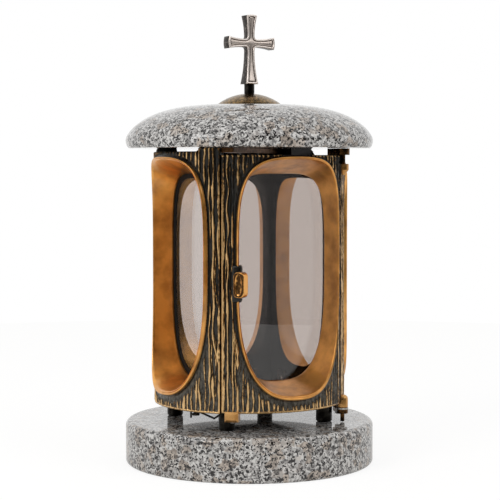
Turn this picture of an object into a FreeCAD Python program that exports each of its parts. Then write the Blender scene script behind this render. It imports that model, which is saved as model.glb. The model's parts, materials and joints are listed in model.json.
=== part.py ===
import FreeCAD, Part
import math
import os

os.makedirs("parts", exist_ok=True)

# Grave lantern: a bronze drum with four funnel windows between two granite slabs.
# Millimetres, +Z up, origin at the centre of the base's underside.
# The door faces -Y. An azimuth is in degrees from -Y, positive towards +X, where the hinge is.

# Granite slabs
base_radius = 90.0
base_thickness = 31.0
base_top_round = 4.0
base_bottom_round = 2.7
roof_radius = 89.4
roof_underside = 227.4
roof_widest = 233.5
roof_rise = 25.7
roof_edge_inset = 2.9
roof_flatness = 3.5
roof_fullness = 1.5
bolt_recess_radius = 8.0
bolt_recess_depth = 9.0
tie_hole_radius = 3.5

# Cast drum
drum_radius = 69.0
lip_radius = 71.0
drum_bottom = 44.0
floor_top = 50.0
chamber_half = 43.0
notch_top = 222.6
door_bottom = 44.6
door_top = 222.3
door_half_angle = 45.5
door_gap = 0.4
door_floor_gap = 0.6
frame_notches = ((-127.0, -60.0), (59.0, 107.0), (180.0, 221.0))
beyond = 130.0
corner_azimuths = (135, 225)
corner_hollow_radius = 4.0
corner_hollow_orbit = 62.0
corner_hollow_bottom = 56.0
corner_hollow_top = 208.0
corner_seam_half_width = 0.75

# Window funnels, measured on the flat inner face and on a plane outside the drum
funnel_outside = 75.0
window_middle = 140.0
window_inner = {"half_width": 37.2, "top": 209.1, "bottom": 63.9}
window_outer = {"half_width": 42.9, "top": 221.3, "bottom": 54.4}
lip_widening = 1.6
lip_top_rise = 2.0
lip_bottom_drop = 3.2
lip_root_depth = 3.0
top_squareness = 4.5
bottom_squareness = 2.9

# Panes
pane_thickness = 3.0
pane_half_width = 39.3
pane_bottom = 58.0
pane_top = 215.0
seal_thickness = 0.5
door_seal_margin = 0.7
frame_seal_margin = -3.0
clip_width = 10.0
clip_thickness = 1.0
clip_overlap = 3.0
clip_foot = 6.0
clip_offset = 22.0
clip_screw_radius = 1.5
clip_screw_depth = 4.0

# Hinge
pin_radius = 1.5
pin_orbit = 69.5
pin_azimuth = 45.5
running_gap = 0.05
knuckle_radius = 4.0
knuckle_relief = 0.4
upper_knuckle = (212.0, 216.2)
upper_knuckle_cone = 3.7
lower_knuckle = (41.65, 48.0)
lower_knuckle_dome = 3.0
hinge_corner_radius = 9.0
upper_bracket = (222.6, 227.2)
lower_bracket = (37.4, 40.4)
bracket_end_radius = 4.6
bracket_pad_radius = 5.2
upper_pad_orbit = 62.0
upper_pad_azimuth = 53.0
lower_pad_orbit = 66.2
lower_pad_azimuth = 57.0
bracket_screw_radius = 2.0
upper_screw_depth = 12.0
lower_screw_depth = 8.0
screw_slot_half_width = 0.4
screw_slot_depth = 0.6
pin_proud = 0.1
lower_pin_end = 31.6
upper_pin_depth = 6.0
lower_pin_depth = 6.0
washer_radius = 4.2
washer_thickness = 1.15

# Spacers and base bolts
spacer_radius = 5.8
spacer_orbit = 56.0
spacer_azimuths = (-131, -45, 45, 139)
spacer_chamfer = 1.0
bolt_radius = 2.5
bolt_clearance = 0.4
bolt_head_flats = 8.0
bolt_head_height = 3.5
bolt_washer_radius = 5.6
bolt_washer_thickness = 1.2
bolt_thread_depth = 4.5

# Roof bridge and tie rod
bridge_azimuth = -47.0
bridge_half_length = 65.5
bridge_width = 20.0
bridge_bottom = 224.0
bridge_thickness = 3.2
bridge_clearance = 0.1
bridge_screw_orbit = 61.0
bridge_front_screw_azimuth = -51.5
bridge_rear_screw_azimuth = 128.5
tie_radius = 3.0
tie_bottom = 215.6
tie_top = 281.0
tie_washer_radius = 7.0
tie_washer_thickness = 1.3
tie_nut_height = 4.8
tie_nut_flats = 10.0

# Finial
rosette_radius = 22.5
rosette_bottom = 259.2
rosette_top = 267.0
rosette_edge = 0.5
stem_radius = 3.7
stem_top = 273.8
cross_bottom = 273.8
cross_top = 323.5
cross_centre = 303.2
cross_half_span = 18.9
waist_half_depth = 3.4
arm_end_half_depth = 4.6
foot_end_half_depth = 5.2
arm_end_half = 4.3
foot_end_half = 4.9
waist_half = 2.8
border_width = 1.2
border_depth = 0.6
arm_crown = 0.6
hub_growth = 1.6

# Knob and catch
knob_height = 17.6
knob_width = 8.4
knob_corner_round = 3.4
knob_thickness = 6.5
knob_middle = 134.2
knob_face_orbit = 82.0
knob_face_azimuth = -34.1
knob_facing_azimuth = -60.0
knob_dish = 1.2
knob_edge_round = 0.9
knob_rim_long = 1.4
knob_rim_short = 1.2
stud_radius = 2.7
boss_azimuth = -36.4
boss_orbit = 70.6
boss_half_width = 4.2
boss_half_height = 14.0
boss_depth = 7.0
boss_round = 1.6
stud_engagement = 4.5
knob_nut_radius = 4.0
knob_nut_thickness = 1.5
catch_azimuth = -38.6
catch_width = 9.6
catch_inner = 64.2
catch_outer = 73.6
catch_bottom = 39.2
catch_top = 46.3
catch_clearance = 0.1
catch_bevel = 1.6
catch_screw_orbit = 66.4
catch_screw_radius = 1.2
catch_screw_head = 2.6
catch_screw_head_height = 1.4
spring_radius = 0.7
spring_path = ((50.0, -85.0, 35.5), (50.0, -85.0, 43.0), (59.6, -65.0, 43.0), (67.0, -50.0, 40.6),
               (67.0, -46.6, 43.2))
spring_screw_orbit = 62.0
spring_screw_azimuth = -66.0
spring_screw_radius = 1.5
spring_screw_head = 2.8
spring_screw_depth = 6.0

# Candle tray
tray_radius = 34.0
tray_thickness = 2.5
tray_rim = 1.4
tray_screw_radius = 2.5


def spot(radius, azimuth, height=0.0):
    """Point at a distance and azimuth from the drum's axis."""
    angle = math.radians(azimuth)
    return FreeCAD.Vector(radius * math.sin(angle), -radius * math.cos(angle), height)


def rod(radius, bottom, top, place=FreeCAD.Vector(0, 0, 0)):
    """Upright cylinder between two heights."""
    foot = FreeCAD.Vector(place.x, place.y, bottom)
    return Part.makeCylinder(radius, top - bottom, foot)


def block(low, high):
    """Box between two corners."""
    size = [b - a for a, b in zip(low, high)]
    return Part.makeBox(size[0], size[1], size[2], FreeCAD.Vector(*low))


def turned(shape, azimuth, centre=FreeCAD.Vector(0, 0, 0)):
    """Copy turned about the vertical by an azimuth."""
    copy = shape.copy()
    copy.rotate(centre, FreeCAD.Vector(0, 0, 1), azimuth)
    return copy


def spun(edges):
    """Solid of revolution about Z from profile edges in the XZ plane."""
    face = Part.Face(Part.Wire(edges))
    return face.revolve(FreeCAD.Vector(0, 0, 0), FreeCAD.Vector(0, 0, 1), 360)


def segment(a, b):
    """Straight profile edge between two (radius, height) pairs."""
    start = FreeCAD.Vector(a[0], 0, a[1])
    end = FreeCAD.Vector(b[0], 0, b[1])
    return Part.makeLine(start, end)


def quarter(centre, across, up, start, finish):
    """Quarter-ellipse profile edge; start and finish are angles in degrees."""
    points = []
    for step in range(7):
        angle = math.radians(start + (finish - start) * step / 6)
        points.append(FreeCAD.Vector(centre[0] + across * math.cos(angle), 0,
                                     centre[1] + up * math.sin(angle)))
    curve = Part.BSplineCurve()
    curve.interpolate(points)
    return curve.toShape()


def spindle(pairs):
    """Solid of revolution from straight (radius, height) pairs that start and end on the axis."""
    edges = [segment(a, b) for a, b in zip(pairs, pairs[1:] + pairs[:1])]
    return spun(edges)


def moved(shape, place):
    """Copy shifted in the horizontal plane."""
    copy = shape.copy()
    copy.translate(FreeCAD.Vector(place.x, place.y, 0))
    return copy


def grouped(solids):
    """One node made of separate solids."""
    return Part.makeCompound(solids)


def upright_hex(flats, bottom, top, place=FreeCAD.Vector(0, 0, 0)):
    """Hexagonal prism across given flats."""
    corner = flats / math.sqrt(3)
    points = [place + FreeCAD.Vector(corner * math.cos(math.radians(60 * k)),
                                     corner * math.sin(math.radians(60 * k)), 0) for k in range(7)]
    outline = Part.Face(Part.makePolygon([FreeCAD.Vector(p.x, p.y, bottom) for p in points]))
    return outline.extrude(FreeCAD.Vector(0, 0, top - bottom))


def spacer_places():
    """The four corners that carry spacers and base bolts."""
    return [spot(spacer_orbit, azimuth) for azimuth in spacer_azimuths]


# Granite

def granite_base():
    top = base_thickness
    outline = [
        segment((0, 0), (base_radius - base_bottom_round, 0)),
        quarter((base_radius - base_bottom_round, base_bottom_round), base_bottom_round,
                base_bottom_round, -90, 0),
        segment((base_radius, base_bottom_round), (base_radius, top - base_top_round)),
        quarter((base_radius - base_top_round, top - base_top_round), base_top_round,
                base_top_round, 0, 90),
        segment((base_radius - base_top_round, top), (0, top)),
        segment((0, top), (0, 0)),
    ]
    slab = spun(outline)
    for place in spacer_places():
        slab = slab.cut(rod(bolt_recess_radius, -1, bolt_recess_depth, place))
        slab = slab.cut(rod(bolt_radius + bolt_clearance, 0, top + 1, place))
    return slab


def granite_roof():
    dome_points = []
    steps = 14
    for step in range(steps + 1):
        angle = math.radians(90 * step / steps)
        radius = roof_radius * max(math.cos(angle), 0) ** (2 / roof_flatness)
        height = roof_widest + roof_rise * math.sin(angle) ** (2 / roof_fullness)
        if step == steps:
            radius = 0.0
        dome_points.append(FreeCAD.Vector(radius, 0, height))
    dome = Part.BSplineCurve()
    dome.interpolate(dome_points)
    outline = [
        segment((0, roof_underside), (roof_radius - roof_edge_inset, roof_underside)),
        quarter((roof_radius - roof_edge_inset, roof_widest), roof_edge_inset,
                roof_widest - roof_underside, -90, 0),
        dome.toShape(),
        segment((0, roof_widest + roof_rise), (0, roof_underside)),
    ]
    slab = spun(outline)
    return slab.cut(rod(tie_hole_radius, roof_underside - 1, roof_widest + roof_rise + 1))


# Drum

def window_wire(sizes, distance, widen=0.0, rise=0.0, drop=0.0):
    """Closed window outline on a plane facing -Y at a distance from the axis."""
    half = sizes["half_width"] + widen
    top = sizes["top"] + rise - window_middle
    bottom = window_middle - sizes["bottom"] + drop
    points = []
    count = 48
    for step in range(count):
        angle = 2 * math.pi * step / count
        across = math.cos(angle)
        up = math.sin(angle)
        tall = top if up >= 0 else bottom
        power = top_squareness if up >= 0 else bottom_squareness
        reach = (abs(across) ** power + abs(up) ** power) ** (-1 / power)
        points.append(FreeCAD.Vector(half * reach * across, -distance,
                                     window_middle + tall * reach * up))
    curve = Part.BSplineCurve()
    curve.interpolate(points, PeriodicFlag=True)
    return Part.Wire(curve.toShape())


def funnel(widen=0.0, rise=0.0, drop=0.0):
    """Flaring window cutter for the front side, running past both wall faces."""
    back = 2.0
    share = back / (funnel_outside - chamber_half)
    behind = {}
    for size, inside in window_inner.items():
        behind[size] = inside - share * (window_outer[size] - inside)
    wires = [window_wire(behind, chamber_half - back, widen, rise, drop),
             window_wire(window_outer, funnel_outside, widen, rise, drop)]
    return Part.makeLoft(wires, True, True)


def lip():
    """Raised bead round the front window, before the funnel is cut out of it."""
    skin = rod(lip_radius, drum_bottom, roof_underside)
    core = rod(drum_radius - lip_root_depth, drum_bottom, roof_underside)
    return funnel(lip_widening, lip_top_rise, lip_bottom_drop).common(skin).cut(core)


def door_wedge(inset, low, high):
    """Front quarter as a prism; a positive inset makes it narrower than the split lines."""
    half = math.radians(door_half_angle)
    tip = FreeCAD.Vector(0, -inset / math.sin(half), low)
    right = tip + FreeCAD.Vector(beyond * math.sin(half), -beyond * math.cos(half), 0)
    left = tip + FreeCAD.Vector(-beyond * math.sin(half), -beyond * math.cos(half), 0)
    outline = Part.Face(Part.makePolygon([tip, left, right, tip]))
    return outline.extrude(FreeCAD.Vector(0, 0, high - low))


def azimuth_wedge(start, finish, low, high):
    """Prism that covers a range of azimuths under 180 degrees."""
    corners = [FreeCAD.Vector(0, 0, low)]
    steps = 3
    for step in range(steps + 1):
        corners.append(spot(beyond, start + (finish - start) * step / steps, low))
    corners.append(corners[0])
    return Part.Face(Part.makePolygon(corners)).extrude(FreeCAD.Vector(0, 0, high - low))


def upper_pad_place():
    return spot(upper_pad_orbit, upper_pad_azimuth)


def lower_pad_place():
    return spot(lower_pad_orbit, lower_pad_azimuth)


def pin_place():
    return spot(pin_orbit, pin_azimuth)


def lug(end_radius, pad_radius, pad, low, high):
    """Flat lug from the pin's rounded eye to a round pad, with tangent sides."""
    eye = pin_place()
    along = FreeCAD.Vector(pad.x - eye.x, pad.y - eye.y, 0)
    gap = along.Length
    along.normalize()
    across = FreeCAD.Vector(-along.y, along.x, 0)
    lean = (end_radius - pad_radius) / gap
    side = math.sqrt(1 - lean * lean)
    corners = []
    for sign in (1, -1):
        normal = along * lean + across * (sign * side)
        pair = [eye + normal * end_radius, pad + normal * pad_radius]
        corners += pair if sign == 1 else pair[::-1]
    corners.append(corners[0])
    web = Part.Face(Part.makePolygon([FreeCAD.Vector(c.x, c.y, low) for c in corners]))
    solid = web.extrude(FreeCAD.Vector(0, 0, high - low))
    solid = solid.fuse([rod(end_radius, low, high, eye), rod(pad_radius, low, high, pad)])
    return solid.removeSplitter()


def bridge_plate():
    """Flat bar under the roof, its ends rounded to the drum."""
    half = bridge_width / 2
    top = bridge_bottom + bridge_thickness
    bar = block((-half, -bridge_half_length, bridge_bottom), (half, bridge_half_length, top))
    return turned(bar, bridge_azimuth).common(rod(bridge_half_length, bridge_bottom, top))


def bridge_screw_places():
    return [spot(bridge_screw_orbit, bridge_front_screw_azimuth),
            spot(bridge_screw_orbit, bridge_rear_screw_azimuth)]


def spring_screw_place():
    return spot(spring_screw_orbit, spring_screw_azimuth)


def lantern_frame():
    body = rod(drum_radius, drum_bottom, roof_underside)
    front_lip = lip()
    front_funnel = funnel()
    for azimuth in (90, 180, 270):
        body = body.fuse(turned(front_lip, azimuth))
    half = chamber_half
    body = body.cut(block((-half, -half, floor_top), (half, half, roof_underside + 1)))
    for azimuth in (90, 180, 270):
        body = body.cut(turned(front_funnel, azimuth))
    opening = door_wedge(-door_gap, drum_bottom - 1, roof_underside + 1)
    rear_line = -(half - door_floor_gap)
    opening = opening.common(block((-beyond, -beyond, drum_bottom - 1),
                                   (beyond, rear_line, roof_underside + 1)))
    body = body.cut(opening)
    for start, finish in frame_notches:
        body = body.cut(azimuth_wedge(start, finish, notch_top, roof_underside + 1))
    seam = block((-corner_seam_half_width, -lip_radius, corner_hollow_bottom),
                 (corner_seam_half_width, -corner_hollow_orbit, corner_hollow_top))
    for azimuth in corner_azimuths:
        body = body.cut(rod(corner_hollow_radius, corner_hollow_bottom, corner_hollow_top,
                            spot(corner_hollow_orbit, azimuth)))
        body = body.cut(turned(seam, azimuth))
    pin = pin_place()
    relief = knuckle_radius + knuckle_relief
    body = body.cut(rod(relief, upper_knuckle[0] - upper_knuckle_cone - 0.5, upper_bracket[0], pin))
    body = body.cut(rod(relief, drum_bottom - 1, lower_knuckle[1] + lower_knuckle_dome + 0.5, pin))
    upper_seat = lug(bracket_end_radius, bracket_pad_radius, upper_pad_place(),
                     upper_bracket[0], roof_underside + 1)
    body = body.cut(upper_seat)
    slot_half = bridge_width / 2 + bridge_clearance
    slot = block((-slot_half, -drum_radius, bridge_bottom), (slot_half, drum_radius, roof_underside + 1))
    slot = slot.common(rod(bridge_half_length + bridge_clearance, bridge_bottom, roof_underside + 1))
    body = body.cut(turned(slot, bridge_azimuth))
    for place in spacer_places():
        body = body.cut(rod(bolt_radius, drum_bottom - 1, drum_bottom + bolt_thread_depth, place))
    body = body.cut(rod(bracket_screw_radius, upper_bracket[0] - upper_screw_depth, upper_bracket[0] + 1,
                        upper_pad_place()))
    body = body.cut(rod(bracket_screw_radius, drum_bottom - 1, drum_bottom + lower_screw_depth,
                        lower_pad_place()))
    for place in bridge_screw_places():
        hole = rod(bracket_screw_radius, bridge_bottom - upper_screw_depth, bridge_bottom + 1, place)
        body = body.cut(hole)
    body = body.cut(rod(spring_screw_radius, drum_bottom - 1, drum_bottom + spring_screw_depth,
                        spring_screw_place()))
    body = body.cut(rod(tray_screw_radius, drum_bottom - 1, floor_top + 1))
    for azimuth in (90, 180, 270):
        for hole in clip_screw_holes():
            body = body.cut(turned(hole, azimuth))
    return body


def knob_stud_ends():
    """Foot of the stud in the boss and its end inside the head."""
    foot = spot(boss_orbit - stud_engagement, boss_azimuth, knob_middle)
    face = spot(knob_face_orbit, knob_face_azimuth, knob_middle)
    head_back = face - spot(1, knob_facing_azimuth) * knob_thickness
    return foot, head_back


def leaning_rod(radius, start, end):
    along = end - start
    return Part.makeCylinder(radius, along.Length, start, along)


def door_leaf():
    outer = rod(drum_radius, door_bottom, door_top)
    leaf = outer.common(door_wedge(door_gap, door_bottom, door_top))
    leaf = leaf.common(block((-beyond, -beyond, door_bottom), (beyond, -chamber_half, door_top)))
    leaf = leaf.fuse(lip().common(block((-beyond, -beyond, door_bottom), (beyond, 0, door_top))))
    boss = block((-boss_half_width, -boss_orbit, knob_middle - boss_half_height),
                 (boss_half_width, -boss_orbit + boss_depth, knob_middle + boss_half_height))
    boss = boss.makeFillet(boss_round, [e for e in boss.Edges if abs(e.BoundBox.YLength) > 1])
    leaf = leaf.cut(funnel()).fuse(turned(boss, boss_azimuth))
    pin = pin_place()
    leaf = leaf.cut(rod(hinge_corner_radius, upper_knuckle[1], door_top + 1, pin))
    high, low = upper_knuckle, lower_knuckle
    upper = spindle([(0, high[0] - upper_knuckle_cone), (1.2, high[0] - upper_knuckle_cone),
                     (knuckle_radius, high[0]), (knuckle_radius, high[1] - 0.4),
                     (knuckle_radius - 0.4, high[1]), (0, high[1])])
    lower = spindle([(0, low[0]), (knuckle_radius - 0.4, low[0]), (knuckle_radius, low[0] + 0.4),
                     (knuckle_radius, low[1]), (knuckle_radius - 1.2, low[1] + lower_knuckle_dome - 1),
                     (0, low[1] + lower_knuckle_dome)])
    leaf = leaf.fuse([moved(upper, pin), moved(lower, pin)])
    leaf = leaf.cut(rod(pin_radius + running_gap, high[1] - upper_pin_depth, high[1] + 1, pin))
    leaf = leaf.cut(rod(pin_radius, low[0] - 1, low[0] + lower_pin_depth, pin))
    for hole in clip_screw_holes():
        leaf = leaf.cut(hole)
    foot, head_back = knob_stud_ends()
    leaf = leaf.cut(leaning_rod(stud_radius, foot, head_back))
    leaf = leaf.cut(rod(catch_screw_radius, door_bottom - 1, door_bottom + lower_screw_depth,
                        spot(catch_screw_orbit, catch_azimuth)))
    return leaf


# Panes, seals and clips, drawn for the front and turned to the other sides

def pane():
    front = -(chamber_half - seal_thickness)
    return block((-pane_half_width, front, pane_bottom),
                 (pane_half_width, front + pane_thickness, pane_top))


def pane_seal(margin):
    """Ring under a pane; a negative margin reaches into the window as a dark rim."""
    wall = -chamber_half
    ring = block((-pane_half_width, wall, pane_bottom), (pane_half_width, wall + seal_thickness, pane_top))
    hole = window_wire(window_inner, chamber_half + 1, margin, margin, margin)
    cutter = Part.Face(hole).extrude(FreeCAD.Vector(0, 3, 0))
    return ring.cut(cutter)


def clip_rows():
    """Heights of a clip's foot and the direction in which its nose reaches over the pane."""
    return ((pane_top + 0.3, 1), (pane_bottom - 0.3, -1))


def pane_clips():
    clips = []
    wall = -chamber_half
    nose = wall + seal_thickness + pane_thickness
    for side in (-clip_offset, clip_offset):
        for edge, way in clip_rows():
            span = sorted((edge - way * (clip_overlap + 0.3), edge + way * clip_foot))
            foot = sorted((edge, edge + way * clip_foot))
            left, right = side - clip_width / 2, side + clip_width / 2
            plate = block((left, nose, span[0]), (right, nose + clip_thickness, span[1]))
            base = block((left, wall, foot[0]), (right, nose, foot[1]))
            middle = edge + way * clip_foot / 2
            hole = Part.makeCylinder(clip_screw_radius, 10, FreeCAD.Vector(side, wall - 1, middle),
                                     FreeCAD.Vector(0, 1, 0))
            clips.append(plate.fuse(base).removeSplitter().cut(hole))
    return clips


def clip_screws():
    screws = []
    seat = -chamber_half + seal_thickness + pane_thickness + clip_thickness
    for side in (-clip_offset, clip_offset):
        for edge, way in clip_rows():
            middle = edge + way * clip_foot / 2
            inward = FreeCAD.Vector(0, 1, 0)
            start = FreeCAD.Vector(side, -chamber_half - clip_screw_depth, middle)
            length = seat + chamber_half + clip_screw_depth
            shank = Part.makeCylinder(clip_screw_radius, length, start, inward)
            head = Part.makeCone(2.6, 1.9, 1.4, FreeCAD.Vector(side, seat, middle), inward)
            screws.append(shank.fuse(head))
    return screws


def clip_screw_holes():
    holes = []
    for side in (-clip_offset, clip_offset):
        for edge, way in clip_rows():
            middle = edge + way * clip_foot / 2
            start = FreeCAD.Vector(side, -chamber_half - clip_screw_depth, middle)
            holes.append(Part.makeCylinder(clip_screw_radius, clip_screw_depth + 1, start,
                                           FreeCAD.Vector(0, 1, 0)))
    return holes


# Hinge parts

def upper_hinge_bracket():
    plate = lug(bracket_end_radius, bracket_pad_radius, upper_pad_place(), *upper_bracket)
    plate = plate.cut(rod(pin_radius, upper_bracket[0] - 1, upper_bracket[1] + 1, pin_place()))
    return plate.cut(countersunk_screw(bracket_screw_radius, upper_screw_depth, upper_bracket[1],
                                       upper_pad_place()))


def lower_hinge_bracket():
    pad = lower_pad_place()
    plate = lug(bracket_end_radius - 0.6, bracket_pad_radius, pad, *lower_bracket)
    plate = plate.fuse(rod(bracket_pad_radius, lower_bracket[0], drum_bottom, pad)).removeSplitter()
    bore = rod(pin_radius + running_gap, lower_bracket[0] - 1, lower_bracket[1] + 1, pin_place())
    plate = plate.cut(bore)
    return plate.cut(rod(bracket_screw_radius, lower_bracket[0] - 1, drum_bottom + 1, pad))


def countersunk_screw(radius, length, top, place):
    """Flat-headed screw with its head flush at the given height."""
    sink = radius * 0.9
    head = Part.makeCone(radius, radius + sink, sink, FreeCAD.Vector(place.x, place.y, top - sink))
    return rod(radius, top - length, top, place).fuse(head)


def hinge_bracket_screws():
    high = upper_bracket[1]
    length = high - upper_bracket[0] + upper_screw_depth - 1
    upper = countersunk_screw(bracket_screw_radius, length, high, upper_pad_place())
    slot = block((-4, -screw_slot_half_width, high - screw_slot_depth),
                 (4, screw_slot_half_width, high + 1))
    upper = upper.cut(moved(slot, upper_pad_place()))
    pad = lower_pad_place()
    shank = rod(bracket_screw_radius, lower_bracket[0] - 1, drum_bottom + lower_screw_depth, pad)
    head_bottom = lower_bracket[0] - 2.2
    head = rod(bracket_screw_radius * 1.9, head_bottom, lower_bracket[0], pad)
    lower = shank.fuse(head)
    slot = block((-4, -screw_slot_half_width, head_bottom - 1),
                 (4, screw_slot_half_width, head_bottom + screw_slot_depth))
    return grouped([upper, lower.cut(moved(slot, pad))])


def upper_hinge_pin():
    bottom = upper_knuckle[1] - upper_pin_depth + 0.5
    return rod(pin_radius, bottom, upper_bracket[1] + pin_proud, pin_place())


def lower_hinge_pin():
    return rod(pin_radius, lower_pin_end, lower_knuckle[0] + lower_pin_depth, pin_place())


def hinge_washer():
    ring = rod(washer_radius, lower_bracket[1], lower_bracket[1] + washer_thickness, pin_place())
    return ring.cut(rod(pin_radius + 0.1, lower_bracket[1] - 1, lower_bracket[1] + 3, pin_place()))


# Spacers and bolts

def base_spacers():
    solids = []
    for place in spacer_places():
        solid = spindle([(0, base_thickness), (spacer_radius - spacer_chamfer, base_thickness),
                         (spacer_radius, base_thickness + spacer_chamfer), (spacer_radius, drum_bottom),
                         (0, drum_bottom)])
        solid = moved(solid, place)
        solids.append(solid.cut(rod(bolt_radius + 0.3, 0, drum_bottom + 1, place)))
    return grouped(solids)


def base_washers():
    top = bolt_recess_depth
    solids = []
    for place in spacer_places():
        ring = rod(bolt_washer_radius, top - bolt_washer_thickness, top, place)
        solids.append(ring.cut(rod(bolt_radius + 0.2, 0, top + 1, place)))
    return grouped(solids)


def base_bolts():
    seat = bolt_recess_depth - bolt_washer_thickness
    solids = []
    for place in spacer_places():
        head = upright_hex(bolt_head_flats, seat - bolt_head_height, seat, place)
        solids.append(head.fuse(rod(bolt_radius, seat - 1, drum_bottom + bolt_thread_depth, place)))
    return grouped(solids)


# Bridge, tie rod and finial

def roof_bridge():
    bar = bridge_plate()
    bar = bar.cut(rod(tie_radius + 0.3, bridge_bottom - 1, roof_underside, FreeCAD.Vector(0, 0, 0)))
    for place in bridge_screw_places():
        bar = bar.cut(countersunk_screw(bracket_screw_radius, 12, bridge_bottom + bridge_thickness, place))
    return bar


def bridge_screws():
    top = bridge_bottom + bridge_thickness
    length = bridge_thickness + upper_screw_depth - 0.5
    return grouped([countersunk_screw(bracket_screw_radius, length, top, place)
                    for place in bridge_screw_places()])


def tie_rod():
    return rod(tie_radius, tie_bottom, tie_top)


def tie_washer():
    ring = rod(tie_washer_radius, bridge_bottom - tie_washer_thickness, bridge_bottom)
    return ring.cut(rod(tie_radius + 0.2, bridge_bottom - 5, bridge_bottom + 1))


def tie_nut():
    top = bridge_bottom - tie_washer_thickness
    nut = upright_hex(tie_nut_flats, top - tie_nut_height, top)
    return nut.cut(rod(tie_radius, top - 10, top + 1))


def roof_rosette():
    shoulder = rosette_bottom + rosette_edge
    bore = tie_radius + 0.3
    rise = rosette_top - shoulder
    ball_radius = (rosette_radius ** 2 + rise ** 2) / (2 * rise)
    middle = (rosette_radius + bore) / 2
    cap = [FreeCAD.Vector(radius, 0, rosette_top - ball_radius + math.sqrt(ball_radius ** 2 - radius ** 2))
           for radius in (rosette_radius, middle, bore)]
    outline = [
        segment((bore, rosette_bottom), (rosette_radius, rosette_bottom)),
        segment((rosette_radius, rosette_bottom), (rosette_radius, shoulder)),
        Part.Arc(*cap).toShape(),
        segment((bore, cap[2].z), (bore, rosette_bottom)),
    ]
    return spun(outline)


def cross_stem():
    ring = rod(stem_radius, rosette_top, stem_top)
    return ring.cut(rod(tie_radius + 0.2, rosette_top - 1, stem_top + 1))


def flared_arm(start_half, end_half, length, crown):
    """Flat outline of one arm that points up from the cross's centre, with curved flanks."""
    left_end = FreeCAD.Vector(-end_half, 0, length)
    right_end = FreeCAD.Vector(end_half, 0, length)
    bow = (end_half - start_half) * 0.62
    left = Part.Arc(FreeCAD.Vector(-start_half, 0, 0),
                    FreeCAD.Vector(-(end_half + start_half) / 2 + bow / 2, 0, length * 0.52), left_end)
    if crown > 0:
        top = Part.Arc(left_end, FreeCAD.Vector(0, 0, length + crown), right_end).toShape()
    else:
        top = Part.makeLine(left_end, right_end)
    right = Part.Arc(right_end, FreeCAD.Vector((end_half + start_half) / 2 - bow / 2, 0, length * 0.52),
                     FreeCAD.Vector(start_half, 0, 0))
    bottom = Part.makeLine(FreeCAD.Vector(start_half, 0, 0), FreeCAD.Vector(-start_half, 0, 0))
    return Part.Face(Part.Wire([left.toShape(), top, right.toShape(), bottom]))


def solid_arm(turn, length, inset, sunk):
    """One arm that flares in width and in depth, drawn in all round and sunk on its faces."""
    at_foot = turn == 180
    end = foot_end_half if at_foot else arm_end_half
    end_depth = foot_end_half_depth if at_foot else arm_end_half_depth
    crown = 0.0 if at_foot else arm_crown
    front = flared_arm(waist_half - inset, end - inset, length - inset, crown)
    front.translate(FreeCAD.Vector(0, -end_depth - 1, 0))
    front = front.extrude(FreeCAD.Vector(0, 2 * end_depth + 2, 0))
    side = flared_arm(waist_half_depth - sunk, end_depth - sunk, length + 2, 0.0)
    side.rotate(FreeCAD.Vector(0, 0, 0), FreeCAD.Vector(0, 0, 1), 90)
    side.translate(FreeCAD.Vector(-end - 1, 0, 0))
    arm = front.common(side.extrude(FreeCAD.Vector(2 * end + 2, 0, 0)))
    arm.rotate(FreeCAD.Vector(0, 0, 0), FreeCAD.Vector(0, 1, 0), turn)
    arm.translate(FreeCAD.Vector(0, 0, cross_centre))
    return arm


def cross_body(inset, sunk):
    """All four arms and the hub between them."""
    tip = cross_top - cross_centre - arm_crown
    arms = [solid_arm(0, tip, inset, sunk), solid_arm(90, cross_half_span - arm_crown, inset, sunk),
            solid_arm(180, cross_centre - cross_bottom, inset, sunk),
            solid_arm(270, cross_half_span - arm_crown, inset, sunk)]
    deep = waist_half_depth - sunk
    front = FreeCAD.Vector(0, -deep, cross_centre)
    hub = Part.makeCylinder(waist_half + hub_growth - inset, 2 * deep, front, FreeCAD.Vector(0, 1, 0))
    return arms[0].fuse(arms[1:] + [hub])


def cross():
    rim = cross_body(0.0, 0.0).cut(cross_body(border_width, -1.0))
    panel = cross_body(border_width, border_depth)
    body = rim.fuse(panel).removeSplitter()
    return body.cut(rod(tie_radius, cross_bottom - 1, tie_top))


# Knob and catch

def door_knob():
    foot, head_back = knob_stud_ends()
    facing = spot(1, knob_facing_azimuth)
    head = block((-knob_height / 2, -knob_width / 2, 0), (knob_height / 2, knob_width / 2, knob_thickness))
    head = head.makeFillet(knob_corner_round, [e for e in head.Edges if e.BoundBox.ZLength > 1])
    head = head.makeFillet(knob_edge_round, [e for e in head.Edges if e.BoundBox.ZLength < 0.1])
    hollow = Part.makeSphere(1, FreeCAD.Vector(0, 0, 0))
    matrix = FreeCAD.Matrix()
    matrix.scale(knob_height / 2 - knob_rim_long, knob_width / 2 - knob_rim_short, knob_dish)
    hollow = hollow.transformGeometry(matrix)
    hollow.translate(FreeCAD.Vector(0, 0, knob_thickness))
    head = head.cut(hollow)
    long_axis = FreeCAD.Vector(0, 0, 1)
    short_axis = facing.cross(long_axis)
    frame = FreeCAD.Matrix(long_axis.x, short_axis.x, facing.x, head_back.x,
                           long_axis.y, short_axis.y, facing.y, head_back.y,
                           long_axis.z, short_axis.z, facing.z, head_back.z,
                           0, 0, 0, 1)
    head = head.transformGeometry(frame)
    along = head_back - foot
    along.normalize()
    return head.fuse(leaning_rod(stud_radius, foot, head_back + along * 1.5))


def knob_nut():
    foot, head_back = knob_stud_ends()
    along = head_back - foot
    along.normalize()
    seat = foot + along * 6.6
    ring = leaning_rod(knob_nut_radius, seat, seat + along * knob_nut_thickness)
    return ring.cut(leaning_rod(stud_radius, foot, head_back))


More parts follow.
